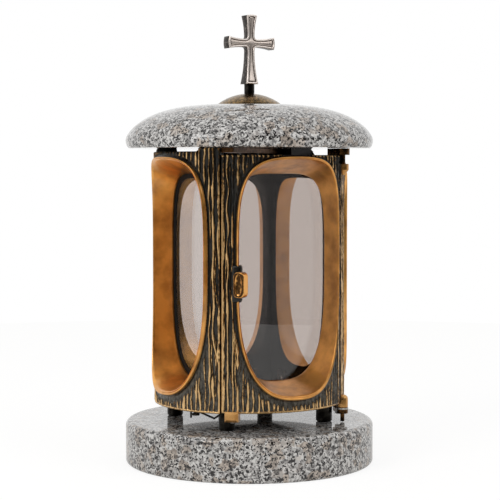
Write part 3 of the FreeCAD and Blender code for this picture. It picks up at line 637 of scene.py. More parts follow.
@dataclass
class BarkSkin:
    """Tree-bark relief of the drum as a height over its cylinder, for any azimuth and height.

    The pattern stands for a rough surface that was filed flat on its high places: strips with ragged
    edges wander down the drum, fork, thin out and start again. A pair is the least and most that chance
    gives, and a wave has one for its reach and one for its length. A mark of the hammer or of the sand has
    its strength, its size across and its size along the height.
    """

    radius: float = 69.0
    bottom: float = 43.0
    top: float = 228.0
    spacing: float = 3.5
    crest: float = 0.3
    hollow: float = -1.1
    cell: float = 0.25
    long_strip: Pair = (40.0, 190.0)
    short_strip: Pair = (15.0, 70.0)
    short_size: float = 0.55
    lead: Pair = (0.0, 30.0)
    short_lead: Pair = (-10.0, 20.0)
    gap: Pair = (2.0, 7.0)
    short_gap: Pair = (3.0, 25.0)
    jitter: float = 0.15
    wander: tuple[Pair, Pair] = ((0.1, 0.32), (14.0, 60.0))
    swell: tuple[Pair, Pair] = ((0.1, 0.28), (7.0, 40.0))
    half_width: Pair = (0.75, 1.35)
    thinnest: float = 0.35
    widest: float = 3.0
    fewest_rows: int = 4
    strength: Pair = (0.72, 1.25)
    join_length: float = 22.0
    join_share: float = 0.8
    foot_reach: float = 28.0
    overrun: float = 20.0
    end_taper: float = 9.0
    marks: tuple[Triple, ...] = ((0.15, 0.8, 2.0), (0.12, 1.6, 5.0), (0.16, 6.0, 16.0))
    seed: int = 7

    def __post_init__(self) -> None:
        """Lays the strips once."""
        self.columns = int(2 * math.pi * self.radius / self.cell)
        self.rows = int((self.top - self.bottom) / self.cell)
        self.relief = self._grow()

    def _cloud(self, chance: np.random.RandomState, across: float, up: float) -> Array:
        """Smooth seeded noise from -1 to 1 over the whole drum.

        Args:
            chance: Source of seeded chance.
            across: Size of a blotch round the drum.
            up: Size of a blotch along the height.

        Returns:
            Table of noise.
        """
        wide = max(4, int(self.columns * self.cell / across))
        tall = max(4, int(self.rows * self.cell / up) + 2)
        coarse = chance.uniform(-1, 1, (tall + 2, wide))
        column = np.arange(self.columns) * wide / self.columns
        row = np.arange(self.rows) * tall / self.rows
        left, over = column.astype(int) % wide, row.astype(int)
        aside, down = smoothstep(0, 1, column % 1), smoothstep(0, 1, row % 1)[:, None]
        upper, lower = (coarse[line][:, left] * (1 - aside) + coarse[line][:, (left + 1) % wide] * aside
                        for line in (over, over + 1))
        return upper * (1 - down) + lower * down

    def _grow(self) -> Array:
        """Draws every strip.

        Returns:
            Table of relief, 0 in a hollow and 1 or more where the file reached.
        """
        chance = np.random.RandomState(self.seed)
        table = np.zeros((self.rows, self.columns))
        girth = 2 * math.pi * self.radius
        lanes = int(girth / self.spacing)
        for lane in range(lanes):
            start = (lane + chance.uniform(-self.jitter, self.jitter)) * girth / lanes
            high = self.top + chance.uniform(*self.lead)
            while high > self.bottom:
                low = high - chance.uniform(*self.long_strip)
                if low < self.bottom + self.foot_reach:
                    low = self.bottom - self.overrun
                self._strip(table, chance, start, high, low, chance.choice([-1, 0, 0, 0, 1]), 1.0)
                high = low - chance.uniform(*self.gap)
            # Shorter and thinner strips lie between the lanes
            start += self.spacing / 2
            high = self.top + chance.uniform(*self.short_lead)
            while high > self.bottom:
                length = chance.uniform(*self.short_strip)
                self._strip(table, chance, start, high, high - length, chance.choice([-1, 0, 1]),
                            self.short_size)
                high -= length + chance.uniform(*self.short_gap)
        for strength, across, up in self.marks:
            table += strength * self._cloud(chance, across, up)
        return table

    def _strip(self, table: Array, chance: np.random.RandomState, start: float, high: float, low: float,
               lean: float, size: float) -> None:
        """Adds one wandering strip.

        Args:
            table: Relief that it is drawn into.
            chance: Source of seeded chance.
            start: Place of its lane along the circumference.
            high: Height at which it starts.
            low: Height at which it ends.
            lean: Neighbour that its lower end joins, -1 or 1, or 0.
            size: Share of the full width and height.
        """
        top_row = int(np.clip((self.top - high) / self.cell, 0, self.rows - 1))
        end_row = int(np.clip((self.top - low) / self.cell, 0, self.rows))
        # Each wave gets a reach, a length and a phase
        wander, swell = (
            [(chance.uniform(*reach), chance.uniform(*length), chance.uniform(0, WAVE)) for _ in range(3)]
            for reach, length in (self.wander, self.swell))
        strength = chance.uniform(*self.strength) * (0.3 + 0.7 * size)
        width = chance.uniform(*self.half_width) * size
        if end_row - top_row < self.fewest_rows:
            return
        row = np.arange(top_row, end_row)
        height = self.top - row * self.cell
        aside, wider = (
            sum(reach * np.sin(height / length * WAVE + phase) for reach, length, phase in waves)
            for waves in (wander, swell))
        joined = smoothstep(low + self.join_length, low, height)
        centre = start + aside + lean * self.spacing * self.join_share * joined
        ends = smoothstep(0, self.end_taper, np.minimum(high - height, height - low))
        half = np.maximum(width * (1 + wider), self.thinnest) * (0.3 + 0.7 * ends)
        reach = int(self.widest / self.cell)
        column = np.floor(centre / self.cell).astype(int)[:, None] + np.arange(-reach, reach + 1)
        across = column * self.cell - centre[:, None]
        tall = strength * (0.35 + 0.65 * ends)
        profile = np.clip(1 - (across / half[:, None]) ** 2, 0, 1) * tall[:, None]
        np.maximum.at(table, (np.broadcast_to(row[:, None], column.shape), column % self.columns), profile)

    def sample(self, azimuth: Array, height: Array) -> Array:
        """Reads the relief.

        Args:
            azimuth: Azimuths in radians.
            height: Heights in millimetres.

        Returns:
            Relief, 0 in a hollow and 1 or more where the file reached.
        """
        across = np.mod(azimuth, 2 * math.pi) * self.radius / self.cell
        down = np.clip((self.top - height) / self.cell, 0, self.rows - 1.001)
        left, over = np.floor(across).astype(int), np.floor(down).astype(int)
        across, down = across - left, down - over
        left, right = left % self.columns, (left + 1) % self.columns
        upper, lower = (self.relief[line, left] * (1 - across) + self.relief[line, right] * across
                        for line in (over, np.minimum(over + 1, self.rows - 1)))
        return upper * (1 - down) + lower * down


@dataclass
class Funnel:
    """Window funnel: a rounded outline that widens from the flat inner face to the drum's skin.

    Each triple holds half the width, the top and the bottom.
    """

    chamber_half: float = 43.0
    outside: float = 75.0
    middle: float = 140.0
    inner: Triple = (37.2, 209.1, 63.9)
    outer: Triple = (42.9, 221.3, 54.4)
    lip_growth: Triple = (1.6, 2.0, -3.2)
    top_squareness: float = 4.5
    bottom_squareness: float = 2.9

    def at(self, angle: Array, distance: Array, lip: float = 0.0) -> tuple[Array, Array]:
        """Outline on a plane in front of the axis.

        Args:
            angle: Angles round the window, from its right side upwards.
            distance: Distances of the plane from the axis.
            lip: 0 for the funnel itself, 1 for the lip's outer outline.

        Returns:
            Places across and up.
        """
        share = (distance - self.chamber_half) / (self.outside - self.chamber_half)
        half, top, bottom = (inner + (outer - inner) * share + lip * growth
                             for inner, outer, growth in zip(self.inner, self.outer, self.lip_growth))
        across, up = np.cos(angle), np.sin(angle)
        power = np.where(up >= 0, self.top_squareness, self.bottom_squareness)
        reach = (np.abs(across) ** power + np.abs(up) ** power) ** (-1 / power)
        tall = np.where(up >= 0, top - self.middle, self.middle - bottom)
        return half * reach * across, self.middle + tall * reach * up

    def on_cylinder(self, angle: Array, radius: float, lip: float = 0.0) -> tuple[Array, Array]:
        """Where the outline meets a cylinder round the axis.

        Args:
            angle: Angles round the window.
            radius: Radius of the cylinder.
            lip: 0 for the funnel itself, 1 for the lip's outer outline.

        Returns:
            Azimuths from the window's middle in radians, and heights.
        """
        distance = np.full_like(angle, radius * 0.9)
        # Plane and outline depend on each other, and settle within twelve rounds
        for _ in range(12):
            across, _ = self.at(angle, distance, lip)
            distance = np.sqrt(np.maximum(radius ** 2 - across ** 2, 1.0))
        across, up = self.at(angle, distance, lip)
        return np.arctan2(across, distance), up


class Side(Enum):
    """The four quarters of the drum, by the azimuth they face."""

    DOOR = 0
    RIGHT = 90
    BACK = 180
    LEFT = 270


@dataclass
class Edge:
    """One straight side of a quarter: azimuth from the middle, and whether it is a seam of the casting."""

    degrees: float
    seam: bool


@dataclass
class DrumQuarter:
    """One quarter of the drum: funnel, rolled lip, bark skin, edges and flat inner face.

    A notch has a first and a last azimuth of the whole drum and a floor. A point of the lip has its share
    of the way across the lip and its radius. A step of the rim has its share of the edge's rounding and
    its drop below the skin.
    """

    side: Side
    left: Edge
    right: Edge
    bark: BarkSkin
    funnel: Funnel
    bottom: float
    top: float
    notches: tuple[Triple, ...] = ()
    steps: int = 960
    funnel_steps: int = 14
    bark_steps: int = 56
    edge_round: float = 0.8
    inner_break: float = 0.5
    break_growth: float = 0.15
    window_foot: Pair = (95.0, 70.0)
    smooth_start: float = 0.35
    smooth_band: float = 3.2
    smooth_more: float = 3.0
    smooth_level: float = 0.12
    smooth_raised: float = 0.2
    groove: Pair = (1.4, 0.3)
    groove_depth: float = 0.25
    pit_row: float = 3.6
    pit_scatter: float = 1.3
    pit_width: float = 0.17
    pit_depth: float = 0.55
    dark_top: Pair = (168.0, 222.0)
    dark_top_loss: float = 0.3
    dark_foot: Pair = (95.0, 65.0)
    dark_foot_loss: float = 0.08
    hinge_side: Pair = (0.4, 0.7)
    hinge_loss: float = 0.25
    rubbed_edge: float = 1.1
    rubbed_width: float = 0.8
    rubbed_less: float = 0.5
    foot_band: Pair = (2.6, 1.0)
    foot_level: float = 0.85
    right_quarter_dimming: float = 0.82
    # Painted glints at the ends of the ridges along the door's top edge
    painted_glint_band: Pair = (1.6, 1.0)
    painted_glint_ridge: Pair = (0.3, 0.6)
    painted_glint_gain: float = 0.4
    rim: Outline = ((0.25, 0.3), (0.0, 0.9))
    lip_profile: Outline = (
        (0.0, 70.2), (0.06, 70.6), (0.15, 70.8), (0.27, 70.35), (0.38, 70.75), (0.52, 71.0), (0.66, 70.95),
        (0.8, 70.6), (0.91, 69.9), (0.97, 69.1), (1.0, 67.9))

    def height_at(self, azimuth_degrees: Array) -> Array:
        """Top edge of the casting.

        Args:
            azimuth_degrees: Azimuths of the whole drum.

        Returns:
            Height of the edge at each.
        """
        azimuth = (azimuth_degrees + 180) % 360 - 180
        top = np.full_like(azimuth, self.top)
        for start, end, level in self.notches:
            top = np.where((azimuth >= start) & (azimuth <= end), level, top)
        return top

    def border(self, angle: Array, inset: float) -> tuple[Array, Array]:
        """Outer outline of the quarter.

        Args:
            angle: Angles round the window.
            inset: How far it is drawn in, in millimetres, except at seams.

        Returns:
            Azimuths from the middle in radians, and heights.
        """
        across, up = np.cos(angle), np.sin(angle)
        reach = 1 / np.maximum(np.abs(across), np.abs(up))
        edge = np.where(across >= 0, self.right.degrees, self.left.degrees)
        seam = np.where(across >= 0, self.right.seam, self.left.seam)
        drawn = np.where(seam, 0.0, inset / self.bark.radius)
        azimuth = np.abs(across) * reach * (np.radians(edge) - np.sign(across) * drawn)
        top = self.height_at(np.degrees(azimuth) + self.side.value) - inset
        bottom = self.bottom + inset
        tall = np.where(up >= 0, top - self.funnel.middle, self.funnel.middle - bottom)
        return azimuth, self.funnel.middle + tall * reach * up

    def at_seam(self, angle: Array) -> Array:
        """Whether angles round the window end on a side that is a seam."""
        sideways = np.abs(np.cos(angle)) > np.abs(np.sin(angle))
        return sideways & np.where(np.cos(angle) >= 0, self.right.seam, self.left.seam)

    def build(self) -> tuple[Array, Array, Array, list[Array]]:
        """Works out the quarter.

        Returns:
            Points in millimetres, quads, each quad's material number and how far each row is rubbed bare,
            with painted glints on the door.
        """
        angle = np.arange(self.steps) * 2 * math.pi / self.steps
        chamber = self.funnel.chamber_half
        start = chamber + self.inner_break
        first_azimuth, _ = self.funnel.on_cylinder(angle, self.lip_profile[0][1])
        edge_distance = self.lip_profile[0][1] * np.cos(first_azimuth)
        planes = [(np.full_like(angle, chamber), self.break_growth)]
        planes += [(start + step / self.funnel_steps * (edge_distance - start), 0.0)
                   for step in range(self.funnel_steps)]
        rows: list[Array] = []
        for distance, growth in planes:
            across, up = self.funnel.at(angle, distance, growth)
            rows.append(np.stack([across, -distance, up], -1))
        for share, radius in self.lip_profile:
            azimuth, up = self.funnel.on_cylinder(angle, radius, share)
            rows.append(polar(azimuth, up, np.full_like(angle, radius)))
        polished = len(rows)
        rows_of_wear_and_light = [np.ones(self.steps)] * (polished - 1) + [np.zeros(self.steps)]
        lip_azimuth, lip_up = self.funnel.on_cylinder(angle, self.bark.radius, 1.0)
        rim_azimuth, rim_up = self.border(angle, self.edge_round)
        for step in range(1, self.bark_steps + 1):
            share = step / self.bark_steps
            azimuth = lip_azimuth + (rim_azimuth - lip_azimuth) * share
            up = lip_up + (rim_up - lip_up) * share
            radius, wear_and_painted_light = self._skin(azimuth, up, lip_azimuth, lip_up)
            rows.append(polar(azimuth, up, radius))
            rows_of_wear_and_light.append(wear_and_painted_light)
        for (inset, drop), dulled in zip(self.rim, (1.0, 0.5)):
            azimuth, up = self.border(angle, self.edge_round * inset)
            rows.append(polar(azimuth, up, radius - np.where(self.at_seam(angle), 0.0, drop)))
            rows_of_wear_and_light.append(wear_and_painted_light * dulled)
        outer_rim = len(rows) - 1
        azimuth, up = self.border(angle, 0.0)
        rows.append(np.stack([chamber * np.tan(azimuth), np.full_like(angle, -chamber), up], -1))
        rows_of_wear_and_light.append(np.full(self.steps, 0.1))
        quads = sheet_faces(len(rows), self.steps, True)
        band = quads[:, 0] // self.steps
        middle_angle = (quads[:, 0] % self.steps + 0.5) * 2 * math.pi / self.steps
        # Quarters of one casting meet at a seam without a wall between them
        keep = ~(self.at_seam(middle_angle) & (band == outer_rim))
        metal = np.where(band < polished - 2, 1, 0)
        metal[band == len(rows) - 1] = 2
        return turned(np.stack(rows), self.side.value), quads[keep], metal[keep], rows_of_wear_and_light

    def _skin(self, azimuth: Array, up: Array, lip_azimuth: Array, lip_up: Array) -> tuple[Array, Array]:
        """Radius of the bark, and how far it is rubbed bare, with painted glints at the door's top edge.

        Args:
            azimuth: Azimuths from the middle in radians.
            up: Heights.
            lip_azimuth: Azimuths of the lip's foot.
            lip_up: Heights of the lip's foot.

        Returns:
            Radius, and how far it is rubbed bare with painted glints, for each place.
        """
        turn = math.radians(self.side.value)
        relief = self.bark.sample(azimuth + turn, up)
        low_lip = smoothstep(*self.window_foot, lip_up)
        away = np.hypot((azimuth - lip_azimuth) * self.bark.radius, up - lip_up)
        # The skin is smooth and dark beside the lips, and in a wider band below the windows
        reach = smoothstep(self.smooth_start, 1.0, away / (self.smooth_band + self.smooth_more * low_lip))
        level = self.smooth_level + self.smooth_raised * low_lip
        relief = level + (relief - level) * reach
        relief = relief - self.groove_depth * smoothstep(*self.groove, away)
        # A row of small pits follows each window's foot
        arc = np.mod(azimuth + turn, 2 * math.pi) * self.bark.radius / self.bark.spacing
        pit_height = self.pit_row + self.pit_scatter * np.sin(np.floor(arc) * 2.4)
        pit = np.exp(-((np.mod(arc, 1) - 0.5) / self.pit_width) ** 2 - (away - pit_height) ** 2)
        relief = relief - self.pit_depth * pit * low_lip
        # Less of the metal is rubbed bright near the top, and all of it along the straight edges
        upper = smoothstep(*self.dark_top, up)
        door = self.side is Side.DOOR
        side = np.minimum(*(np.abs(azimuth - math.radians(edge.degrees)) + edge.seam
                            for edge in (self.left, self.right))) * self.bark.radius
        hinge = smoothstep(*self.hinge_side, azimuth) * door
        strength = 1.0 - self.rubbed_less * hinge if door else self.rubbed_less
        edge = np.exp(-((side - self.rubbed_edge) / self.rubbed_width) ** 2) * strength
        relief = np.maximum(relief, (1.0 - self.dark_top_loss * upper) * edge)
        relief = np.maximum(relief, self.foot_level * smoothstep(*self.foot_band, up - self.bottom))
        filed = np.minimum(relief, 1.0)
        radius = self.bark.radius + self.bark.hollow + (self.bark.crest - self.bark.hollow) * filed
        wear_and_painted_light = relief * (1 - self.dark_top_loss * upper) * (1 - self.hinge_loss * hinge)
        wear_and_painted_light = wear_and_painted_light - self.dark_foot_loss * smoothstep(*self.dark_foot, up)
        # The right quarter gets less bright metal, so that side is drawn darker
        if self.side is Side.RIGHT:
            wear_and_painted_light = wear_and_painted_light * self.right_quarter_dimming
        # Painted glints: every ridge is drawn brighter where it ends at the door's top edge
        if door:
            below, near = self.painted_glint_band
            painted_glint = smoothstep(self.top - below, self.top - near, up)
            wear_and_painted_light = wear_and_painted_light + self.painted_glint_gain * painted_glint * smoothstep(*self.painted_glint_ridge, relief)
        return radius, wear_and_painted_light


@dataclass
class Drum:
    """The bronze body and its door.

    A rod has its radius, its bottom and its top.
    """

    bark: BarkSkin = field(default_factory=BarkSkin)
    funnel: Funnel = field(default_factory=Funnel)
    frame_bottom: float = 44.0
    frame_top: float = 227.4
    door_bottom: float = 44.6
    door_top: float = 222.3
    seam_azimuth: float = 45.0
    frame_edge: float = 44.17
    door_edge: float = 45.17
    notches: tuple[Triple, ...] = (
        (-127.0, -60.0, 224.8), (40.0, 107.0, 222.6), (-180.0, -139.0, 222.6))
    pin: Pair = (49.571, -48.713)
    knuckle_reliefs: tuple[Triple, ...] = ((4.4, 207.8, 222.6), (4.4, 43.0, 51.5))
    corner_relief: Triple = (9.0, 216.2, 223.3)
    corner_azimuths: tuple[float, ...] = (135.0, 225.0)
    hollow_orbit: float = 62.0
    hollow: Triple = (4.0, 56.0, 208.0)
    seam_size: Pair = (1.5, 9.0)
    upper_knuckle: Outline = (
        (0.0, 208.3), (1.2, 208.3), (4.0, 212.0), (4.0, 215.8), (3.6, 216.2), (0.0, 216.2))
    lower_knuckle: Outline = (
        (0.0, 41.65), (3.6, 41.65), (4.0, 42.05), (4.0, 48.0), (3.6, 49.4), (2.4, 50.5), (0.0, 51.0))
    boss_size: Triple = (6.8, 7.0, 25.6)
    boss_round: float = 1.6
    boss_place: Triple = (-35.8, 67.8, 134.2)
    sharp_degrees: float = 70.0

    def build(self, bark_bronze: Material, polished: Material, inside: Material, filed: Material) -> None:
        """Builds the frame and the door.

        Args:
            bark_bronze: Patinated metal of the bark.
            polished: Polished metal of funnels and lips.
            inside: Nearly black metal of the flat inner faces.
            filed: Filed metal of the knuckles.
        """
        left_seam, right_seam = Edge(-self.seam_azimuth, True), Edge(self.seam_azimuth, True)
        frame_sides = (
            (Side.RIGHT, Edge(-self.frame_edge, False), right_seam),
            (Side.BACK, left_seam, right_seam),
            (Side.LEFT, left_seam, Edge(self.frame_edge, False)))
        metals = [bark_bronze, polished, inside]
        casting = self._casting("bark_frame", [
            DrumQuarter(side, left, right, self.bark, self.funnel, self.frame_bottom, self.frame_top,
                        self.notches)
            for side, left, right in frame_sides], metals)
        for relief in self.knuckle_reliefs:
            cut_away(casting, lathe("post", rod(*relief), self.pin, 48))
        _, low, high = self.hollow
        width, depth = self.seam_size
        for azimuth in self.corner_azimuths:
            cut_away(casting, lathe("hollow", rod(*self.hollow), around(self.hollow_orbit, azimuth), 32))
            cut_away(casting, rounded_box("seam", (width, depth, high - low), 0.0, azimuth,
                                          self.hollow_orbit + depth / 2, (low + high) / 2))
        door = self._casting("bark_door", [
            DrumQuarter(Side.DOOR, Edge(-self.door_edge, False), Edge(self.door_edge, False), self.bark,
                        self.funnel, self.door_bottom, self.door_top)], metals)
        cut_away(door, lathe("post", rod(*self.corner_relief), self.pin, 48))
        for name, outline in (("upper_knuckle", self.upper_knuckle), ("lower_knuckle", self.lower_knuckle)):
            self._on_door(lathe(name, outline, self.pin, 48), filed)
        boss = rounded_box("knob_boss", self.boss_size, self.boss_round, *self.boss_place)
        self._on_door(boss, bark_bronze)
        for thing, body, node in ((casting, "lantern", "lantern_frame"), (door, "door", "door_leaf")):
            smooth(thing.data, self.sharp_degrees)
            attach(thing, body)
            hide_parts(node)
            LOG.info("%s rides on %s", thing.name, body)

    def _casting(self, name: str, quarters: list[DrumQuarter], finishes: list[Material]) -> Thing:
        """Joins quarters into one casting.

        Args:
            name: Name of the object.
            quarters: Quarters that meet at their seams.
            finishes: Finishes of bark, funnel and inner face.

        Returns:
            The closed mesh with its finishes and how far its points are rubbed bare, with painted glints on
            the door.
        """
        points, quads, metals, rows_of_wear_and_light = [], [], [], []
        count = 0
        for quarter in quarters:
            where, faces, metal, wear_and_painted_light = quarter.build()
            points.append(where)
            quads.append(faces + count)
            metals.append(metal)
            rows_of_wear_and_light += wear_and_painted_light
            count += len(where)
        thing = new_object(name, np.concatenate(points), np.concatenate(quads).tolist())
        # A cut keeps the material numbers only if the mesh has its finishes already
        thing.data.polygons.foreach_set("material_index", np.concatenate(metals).astype(np.int32))
        for finish in finishes:
            thing.data.materials.append(finish)
        mark_wear_and_light(thing.data, rows_of_wear_and_light)
        turn_outwards(thing.data, WELD_MM)
        return thing

    def _on_door(self, thing: Thing, metal: Material) -> None:
        """Finishes a small form that is cast onto the door.

        Args:
            thing: The form.
            metal: Its finish.
        """
        thing.data.materials.append(metal)
        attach(thing, "door")
        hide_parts("door_leaf")
        LOG.info("%s rides on door", thing.name)


@dataclass
class Cross:
    """Cross with flared arms, a raised rounded border and a slightly raised panel inside a groove.

    The arms are in the order top, right, foot and left. A point of the profile has its inset from the
    outline, its depth below the arm's face and how far it is rubbed bare, which in the groove is a
    painted shadow.
    """

    centre: float = 303.2
    waist: float = 2.7
    waist_depth: float = 3.4
    corner: float = 3.4
    lengths: tuple[float, float, float, float] = (19.7, 18.3, 29.4, 18.3)
    end_halves: tuple[float, float, float, float] = (4.3, 4.3, 4.9, 4.3)
    end_depths: tuple[float, float, float, float] = (4.6, 4.6, 5.2, 4.6)
    crowns: tuple[float, float, float, float] = (0.6, 0.6, 0.0, 0.6)
    flare_power: float = 2.5
    flank_steps: int = 40
    flank_spread: float = 1.3
    end_steps: int = 8
    sharp_degrees: float = 50.0
    # A wear of zero in the groove paints a shadow there
    profile: tuple[Triple, ...] = (
        (2.2, 0.5, 0.7), (1.85, 0.62, 0.55), (1.6, 0.85, 0.0), (1.42, 0.75, 0.1), (1.25, 0.2, 0.8),
        (1.05, 0.03, 1.0), (0.6, 0.0, 0.9), (0.28, 0.1, 0.95), (0.08, 0.35, 0.8), (0.0, 0.7, 0.4))

    def build(self, metal: Material) -> None:
        """Builds the cross.

        Args:
            metal: Silvered bronze that reads how far each point is rubbed bare, and the groove's painted
                shadow.
        """
        front, rows_of_wear_and_light = [], []
        for inset, sunk, wear_and_painted_light in self.profile:
            across, up, deep = self._ring(inset)
            front.append(np.stack([across, -(deep - sunk), self.centre + up], -1))
            rows_of_wear_and_light.append(np.full(len(across), wear_and_painted_light))
        rings = front + [ring * np.array([1.0, -1.0, 1.0]) for ring in reversed(front)]
        columns = len(front[0])
        faces = sheet_faces(len(rings), columns, False).tolist()
        faces += self._panel(0) + self._panel((len(rings) - 1) * columns)
        thing = solid_object("cross_cast", np.concatenate(rings), faces, self.sharp_degrees)
        mark_wear_and_light(thing.data, rows_of_wear_and_light + rows_of_wear_and_light[::-1])
        thing.data.materials.append(metal)
        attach(thing, "lantern")
        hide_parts("cross")
        LOG.info("%s rides on lantern", thing.name)

    def _ring(self, inset: float) -> tuple[Array, Array, Array]:
        """Outline drawn in by an inset.

        Args:
            inset: Distance from the outer outline in millimetres.

        Returns:
            Places across and up from the cross's centre, and half the depth at each.
        """
        across, up, deep = [], [], []
        start = self.corner - 0.707 * inset
        fillet = start - self.waist + inset
        spread = np.linspace(0, 1, self.flank_steps) ** self.flank_spread
        arms = zip(self.lengths, self.end_halves, self.end_depths, self.crowns)
        for turn, (length, end, depth, crown) in enumerate(arms):
            along = start + (length - inset - start) * spread
            flare = np.clip(along / length, 0, 1) ** self.flare_power
            rounded = fillet * np.exp((start - along) / fillet)
            half = self.waist + (end - self.waist) * flare - inset + rounded
            share = np.linspace(-1, 1, self.end_steps + 1)[1:-1]
            side = np.concatenate([-half, share * half[-1], half[:0:-1]])
            out = np.concatenate([along, length - inset + crown * (1 - share ** 2), along[:0:-1]])
            spin = math.radians(90 * turn)
            across.append(side * math.cos(spin) + out * math.sin(spin))
            up.append(out * math.cos(spin) - side * math.sin(spin))
            thicker = np.clip(out / length, 0, 1) ** self.flare_power
            deep.append(self.waist_depth + (depth - self.waist_depth) * thicker)
        return np.concatenate(across), np.concatenate(up), np.concatenate(deep)

    def _panel(self, first: int) -> list[list[int]]:
        """Faces that close the innermost outline.

        Args:
            first: Number of the outline's first point.

        Returns:
            One strip of faces in each arm and one square in the middle.
        """
        arm = 2 * self.flank_steps + self.end_steps - 2
        faces = []
        for low in range(0, 4 * arm, arm):
            high = low + arm
            for step in range((arm - 1) // 2):
                ring = (low + step, low + step + 1, high - step - 1, high - step)
                faces.append(list(dict.fromkeys(first + point % (4 * arm) for point in ring)))
        faces.append([first + turn * arm for turn in range(4)])
        return [face for face in faces if len(face) > 2]


# The studio


@dataclass
class Studio:
    """Pale floor, white surroundings, two soft boxes and the camera.

    A soft box has its name, its azimuth and its power in watts.
    """

    distance: float = 1122.03
    height: float = 213.38
    azimuth: float = -28.8
    pitch: float = 3.042
    yaw: float = 0.0254
    lens: float = 111.27
    sensor: float = 36.0
    floor_radius: float = 1050.0
    floor_height: float = -0.05
    floor_steps: int = 96
    floor_glow: float = 1.12
    floor_white: float = 0.75
    floor_mirrored: float = 0.6
    dark_side: float = -5.0
    dark_range: Pair = (0.25, 0.7)
    dark_level: float = 0.02
    room_as_lamp: float = 0.58
    soft_boxes: tuple[tuple[str, float, float], ...] = (
        ("soft_box_left", -70.0, 5.0), ("soft_box_right", 26.0, 2.4))
    box_elevation: float = 32.0
    box_distance: float = 1400.0
    box_size: float = 700.0
    box_target: float = 160.0

    def build(self) -> None:
        """Sets up the stage, the light and the view."""
        self._world()
        self._floor()
        for name, azimuth, energy in self.soft_boxes:
            self._soft_box(name, azimuth, energy)
        camera = bpy.data.cameras.new("camera")
        camera.lens = self.lens
        camera.sensor_width = self.sensor
        camera.clip_start = 0.05
        holder = bpy.data.objects.new("camera", camera)
        holder.location = Vector((*around(self.distance, self.azimuth), self.height)) * MM
        holder.rotation_euler = (math.radians(90 - self.pitch), 0.0, math.radians(self.azimuth - self.yaw))
        bpy.context.scene.collection.objects.link(holder)
        bpy.context.scene.camera = holder
        bpy.context.scene.view_settings.view_transform = "Standard"

    def _world(self) -> None:
        """White surroundings, dimmer as a lamp than to the eye and darker towards the viewer."""
        world = bpy.data.worlds.new("studio")
        bpy.context.scene.world = world
        tree = Shading(world)
        path = tree.add("LightPath").outputs
        towards = (*around(1.0, self.dark_side), 0.0)
        facing = tree.add("VectorMath", {0: tree.where["Generated"], 1: towards}, operation="DOT_PRODUCT")
        start, full = self.dark_range
        room = tree.add("MapRange", {0: facing.outputs["Value"], 1: start, 2: full, 3: 1.0,
                                     4: self.dark_level})
        straight = tree.add("Math", {0: path["Is Camera Ray"], 1: path["Is Transmission Ray"]},
                            operation="MAXIMUM")
        seen = tree.add("Mix", {0: path["Is Glossy Ray"], 2: self.room_as_lamp, 3: room})
        strength = tree.add("Mix", {0: straight, 2: seen, 3: 1.0})
        tree.finish("Background", {0: (1.0, 1.0, 1.0, 1.0), 1: strength})

    def _floor(self) -> None:
        """Pale floor that keeps the shadow but goes to white away from it."""
        tree = Shading("floor_paper_matt")
        path = tree.add("LightPath").outputs
        paper = tree.add("BsdfDiffuse", {0: linear("#f4f3f1")})
        glow = tree.add("Emission", {0: (1.0, 1.0, 1.0, 1.0), 1: self.floor_glow})
        straight = tree.add("Math", {0: path["Is Camera Ray"], 1: path["Is Transmission Ray"]},
                            operation="MAXIMUM")
        mirrored = tree.add("Math", {0: path["Is Glossy Ray"], 1: self.floor_mirrored},
                            operation="MULTIPLY")
        either = tree.add("Math", {0: straight, 1: mirrored}, operation="MAXIMUM")
        share = tree.add("Math", {0: either, 1: self.floor_white}, operation="MULTIPLY")
        turns = np.arange(self.floor_steps) * 2 * math.pi / self.floor_steps
        rim = np.stack([self.floor_radius * np.cos(turns), self.floor_radius * np.sin(turns),
                        np.full(self.floor_steps, self.floor_height)], -1)
        floor = solid_object("floor", rim, [list(range(self.floor_steps))])
        floor.data.materials.append(tree.finish("MixShader", {0: share, 1: paper, 2: glow}))

    def _soft_box(self, name: str, azimuth: float, energy: float) -> None:
        """Square lamp aimed at the middle of the lantern.

        Args:
            name: Name of the lamp.
            azimuth: Azimuth at which it stands.
            energy: Its power in watts.
        """
        lamp = bpy.data.lights.new(name, "AREA")
        lamp.size = self.box_size * MM
        lamp.energy = energy
        holder = bpy.data.objects.new(name, lamp)
        rise = math.radians(self.box_elevation)
        flat = around(self.box_distance * math.cos(rise), azimuth)
        target = Vector((0.0, 0.0, self.box_target)) * MM
        holder.location = Vector((*flat, self.box_target + self.box_distance * math.sin(rise))) * MM
        holder.rotation_euler = (target - holder.location).to_track_quat("-Z", "Y").to_euler()
        bpy.context.scene.collection.objects.link(holder)


def dress(frame: dict, material: Material, *nodes: str) -> None:
    """Gives CAD nodes a finish.

    Args:
        material: Finish of the nodes.
        nodes: Names of the nodes.
    """
    for name in nodes:
        for slot in frame["nodes"][name].material_slots:
            slot.material = material
        LOG.info("%s is %s", name, material.name)


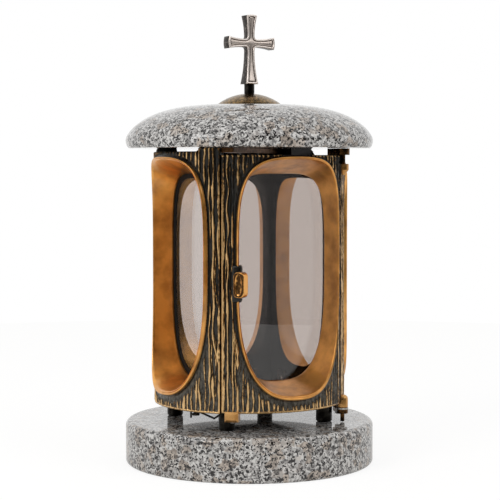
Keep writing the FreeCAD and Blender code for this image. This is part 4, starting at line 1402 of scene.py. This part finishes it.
def main() -> None:
    """Builds the lantern round its frame."""
    logging.basicConfig(level=logging.INFO, format="%(message)s")
    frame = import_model()
    polished = SatinBronze().material()
    # Filed flat and left bare, so it is paler and sharper in its reflections than the polished funnels
    filed = SatinBronze("bronze_filed_flat", "#d9a768", "#ab783e", 0.3, 0.2).material()
    # Inner faces of the casting: nearly black, smooth, with a faint brown cloudiness
    inside = DullBlack("cast_bronze_inner_black", "#070606", "#100e0d", 0.7, 12.0, 0.6, 0.1).material()
    Drum().build(PatinatedBronze().material(), polished, inside, filed)
    Cross().build(SilveredBronze().material())
    dress(frame, filed, "catch_block")
    for finish, nodes in (
            (PolishedGranite(), ("granite_base", "granite_roof")),
            (SmokedGlass(), ("door_glass", "right_glass", "back_glass", "left_glass")),
            # Seal rubber: dull, with a fine powdery bloom
            (DullBlack("seal_rubber_moulded", "#0b0b0c", "#19191a", 0.75, 2.5, 0.72, 0.2),
             ("door_glass_seal", "frame_glass_seals")),
            (TurnedMetal("steel_blackened", "#2f2c28", "#151311", 0.3),
             ("base_spacers", "catch_spring", "catch_spring_screw", "base_washers", "base_bolts", "tie_rod",
              "tie_washer", "tie_nut", "cross_stem")),
            (TurnedMetal("steel_turned", "#b9b6b0", "#8d8a85", 0.28),
             ("door_clip_screws", "frame_clip_screws", "tray_screw", "catch_block_screw",
              "hinge_bracket_screws", "bridge_screws", "hinge_washer")),
            (TurnedMetal("steel_brown_lacquered", "#7a5636", "#4c3522", 0.4),
             ("roof_bridge", "door_glass_clips", "frame_glass_clips", "candle_tray")),
            (TurnedMetal("bronze_brushed_dark", "#9c7d50", "#42361f", 0.24, 1.6), ("roof_rosette",)),
            (GrippedLitBronze(), ("door_knob",)),
            (TurnedMetal("bronze_cast_brown", "#6b4a28", "#221a12", 0.34),
             ("upper_hinge_bracket", "lower_hinge_bracket", "upper_hinge_pin", "lower_hinge_pin",
              "knob_nut"))):
        dress(frame, finish.material(), *nodes)
    Studio().build()


if __name__ == "__main__":
    main()
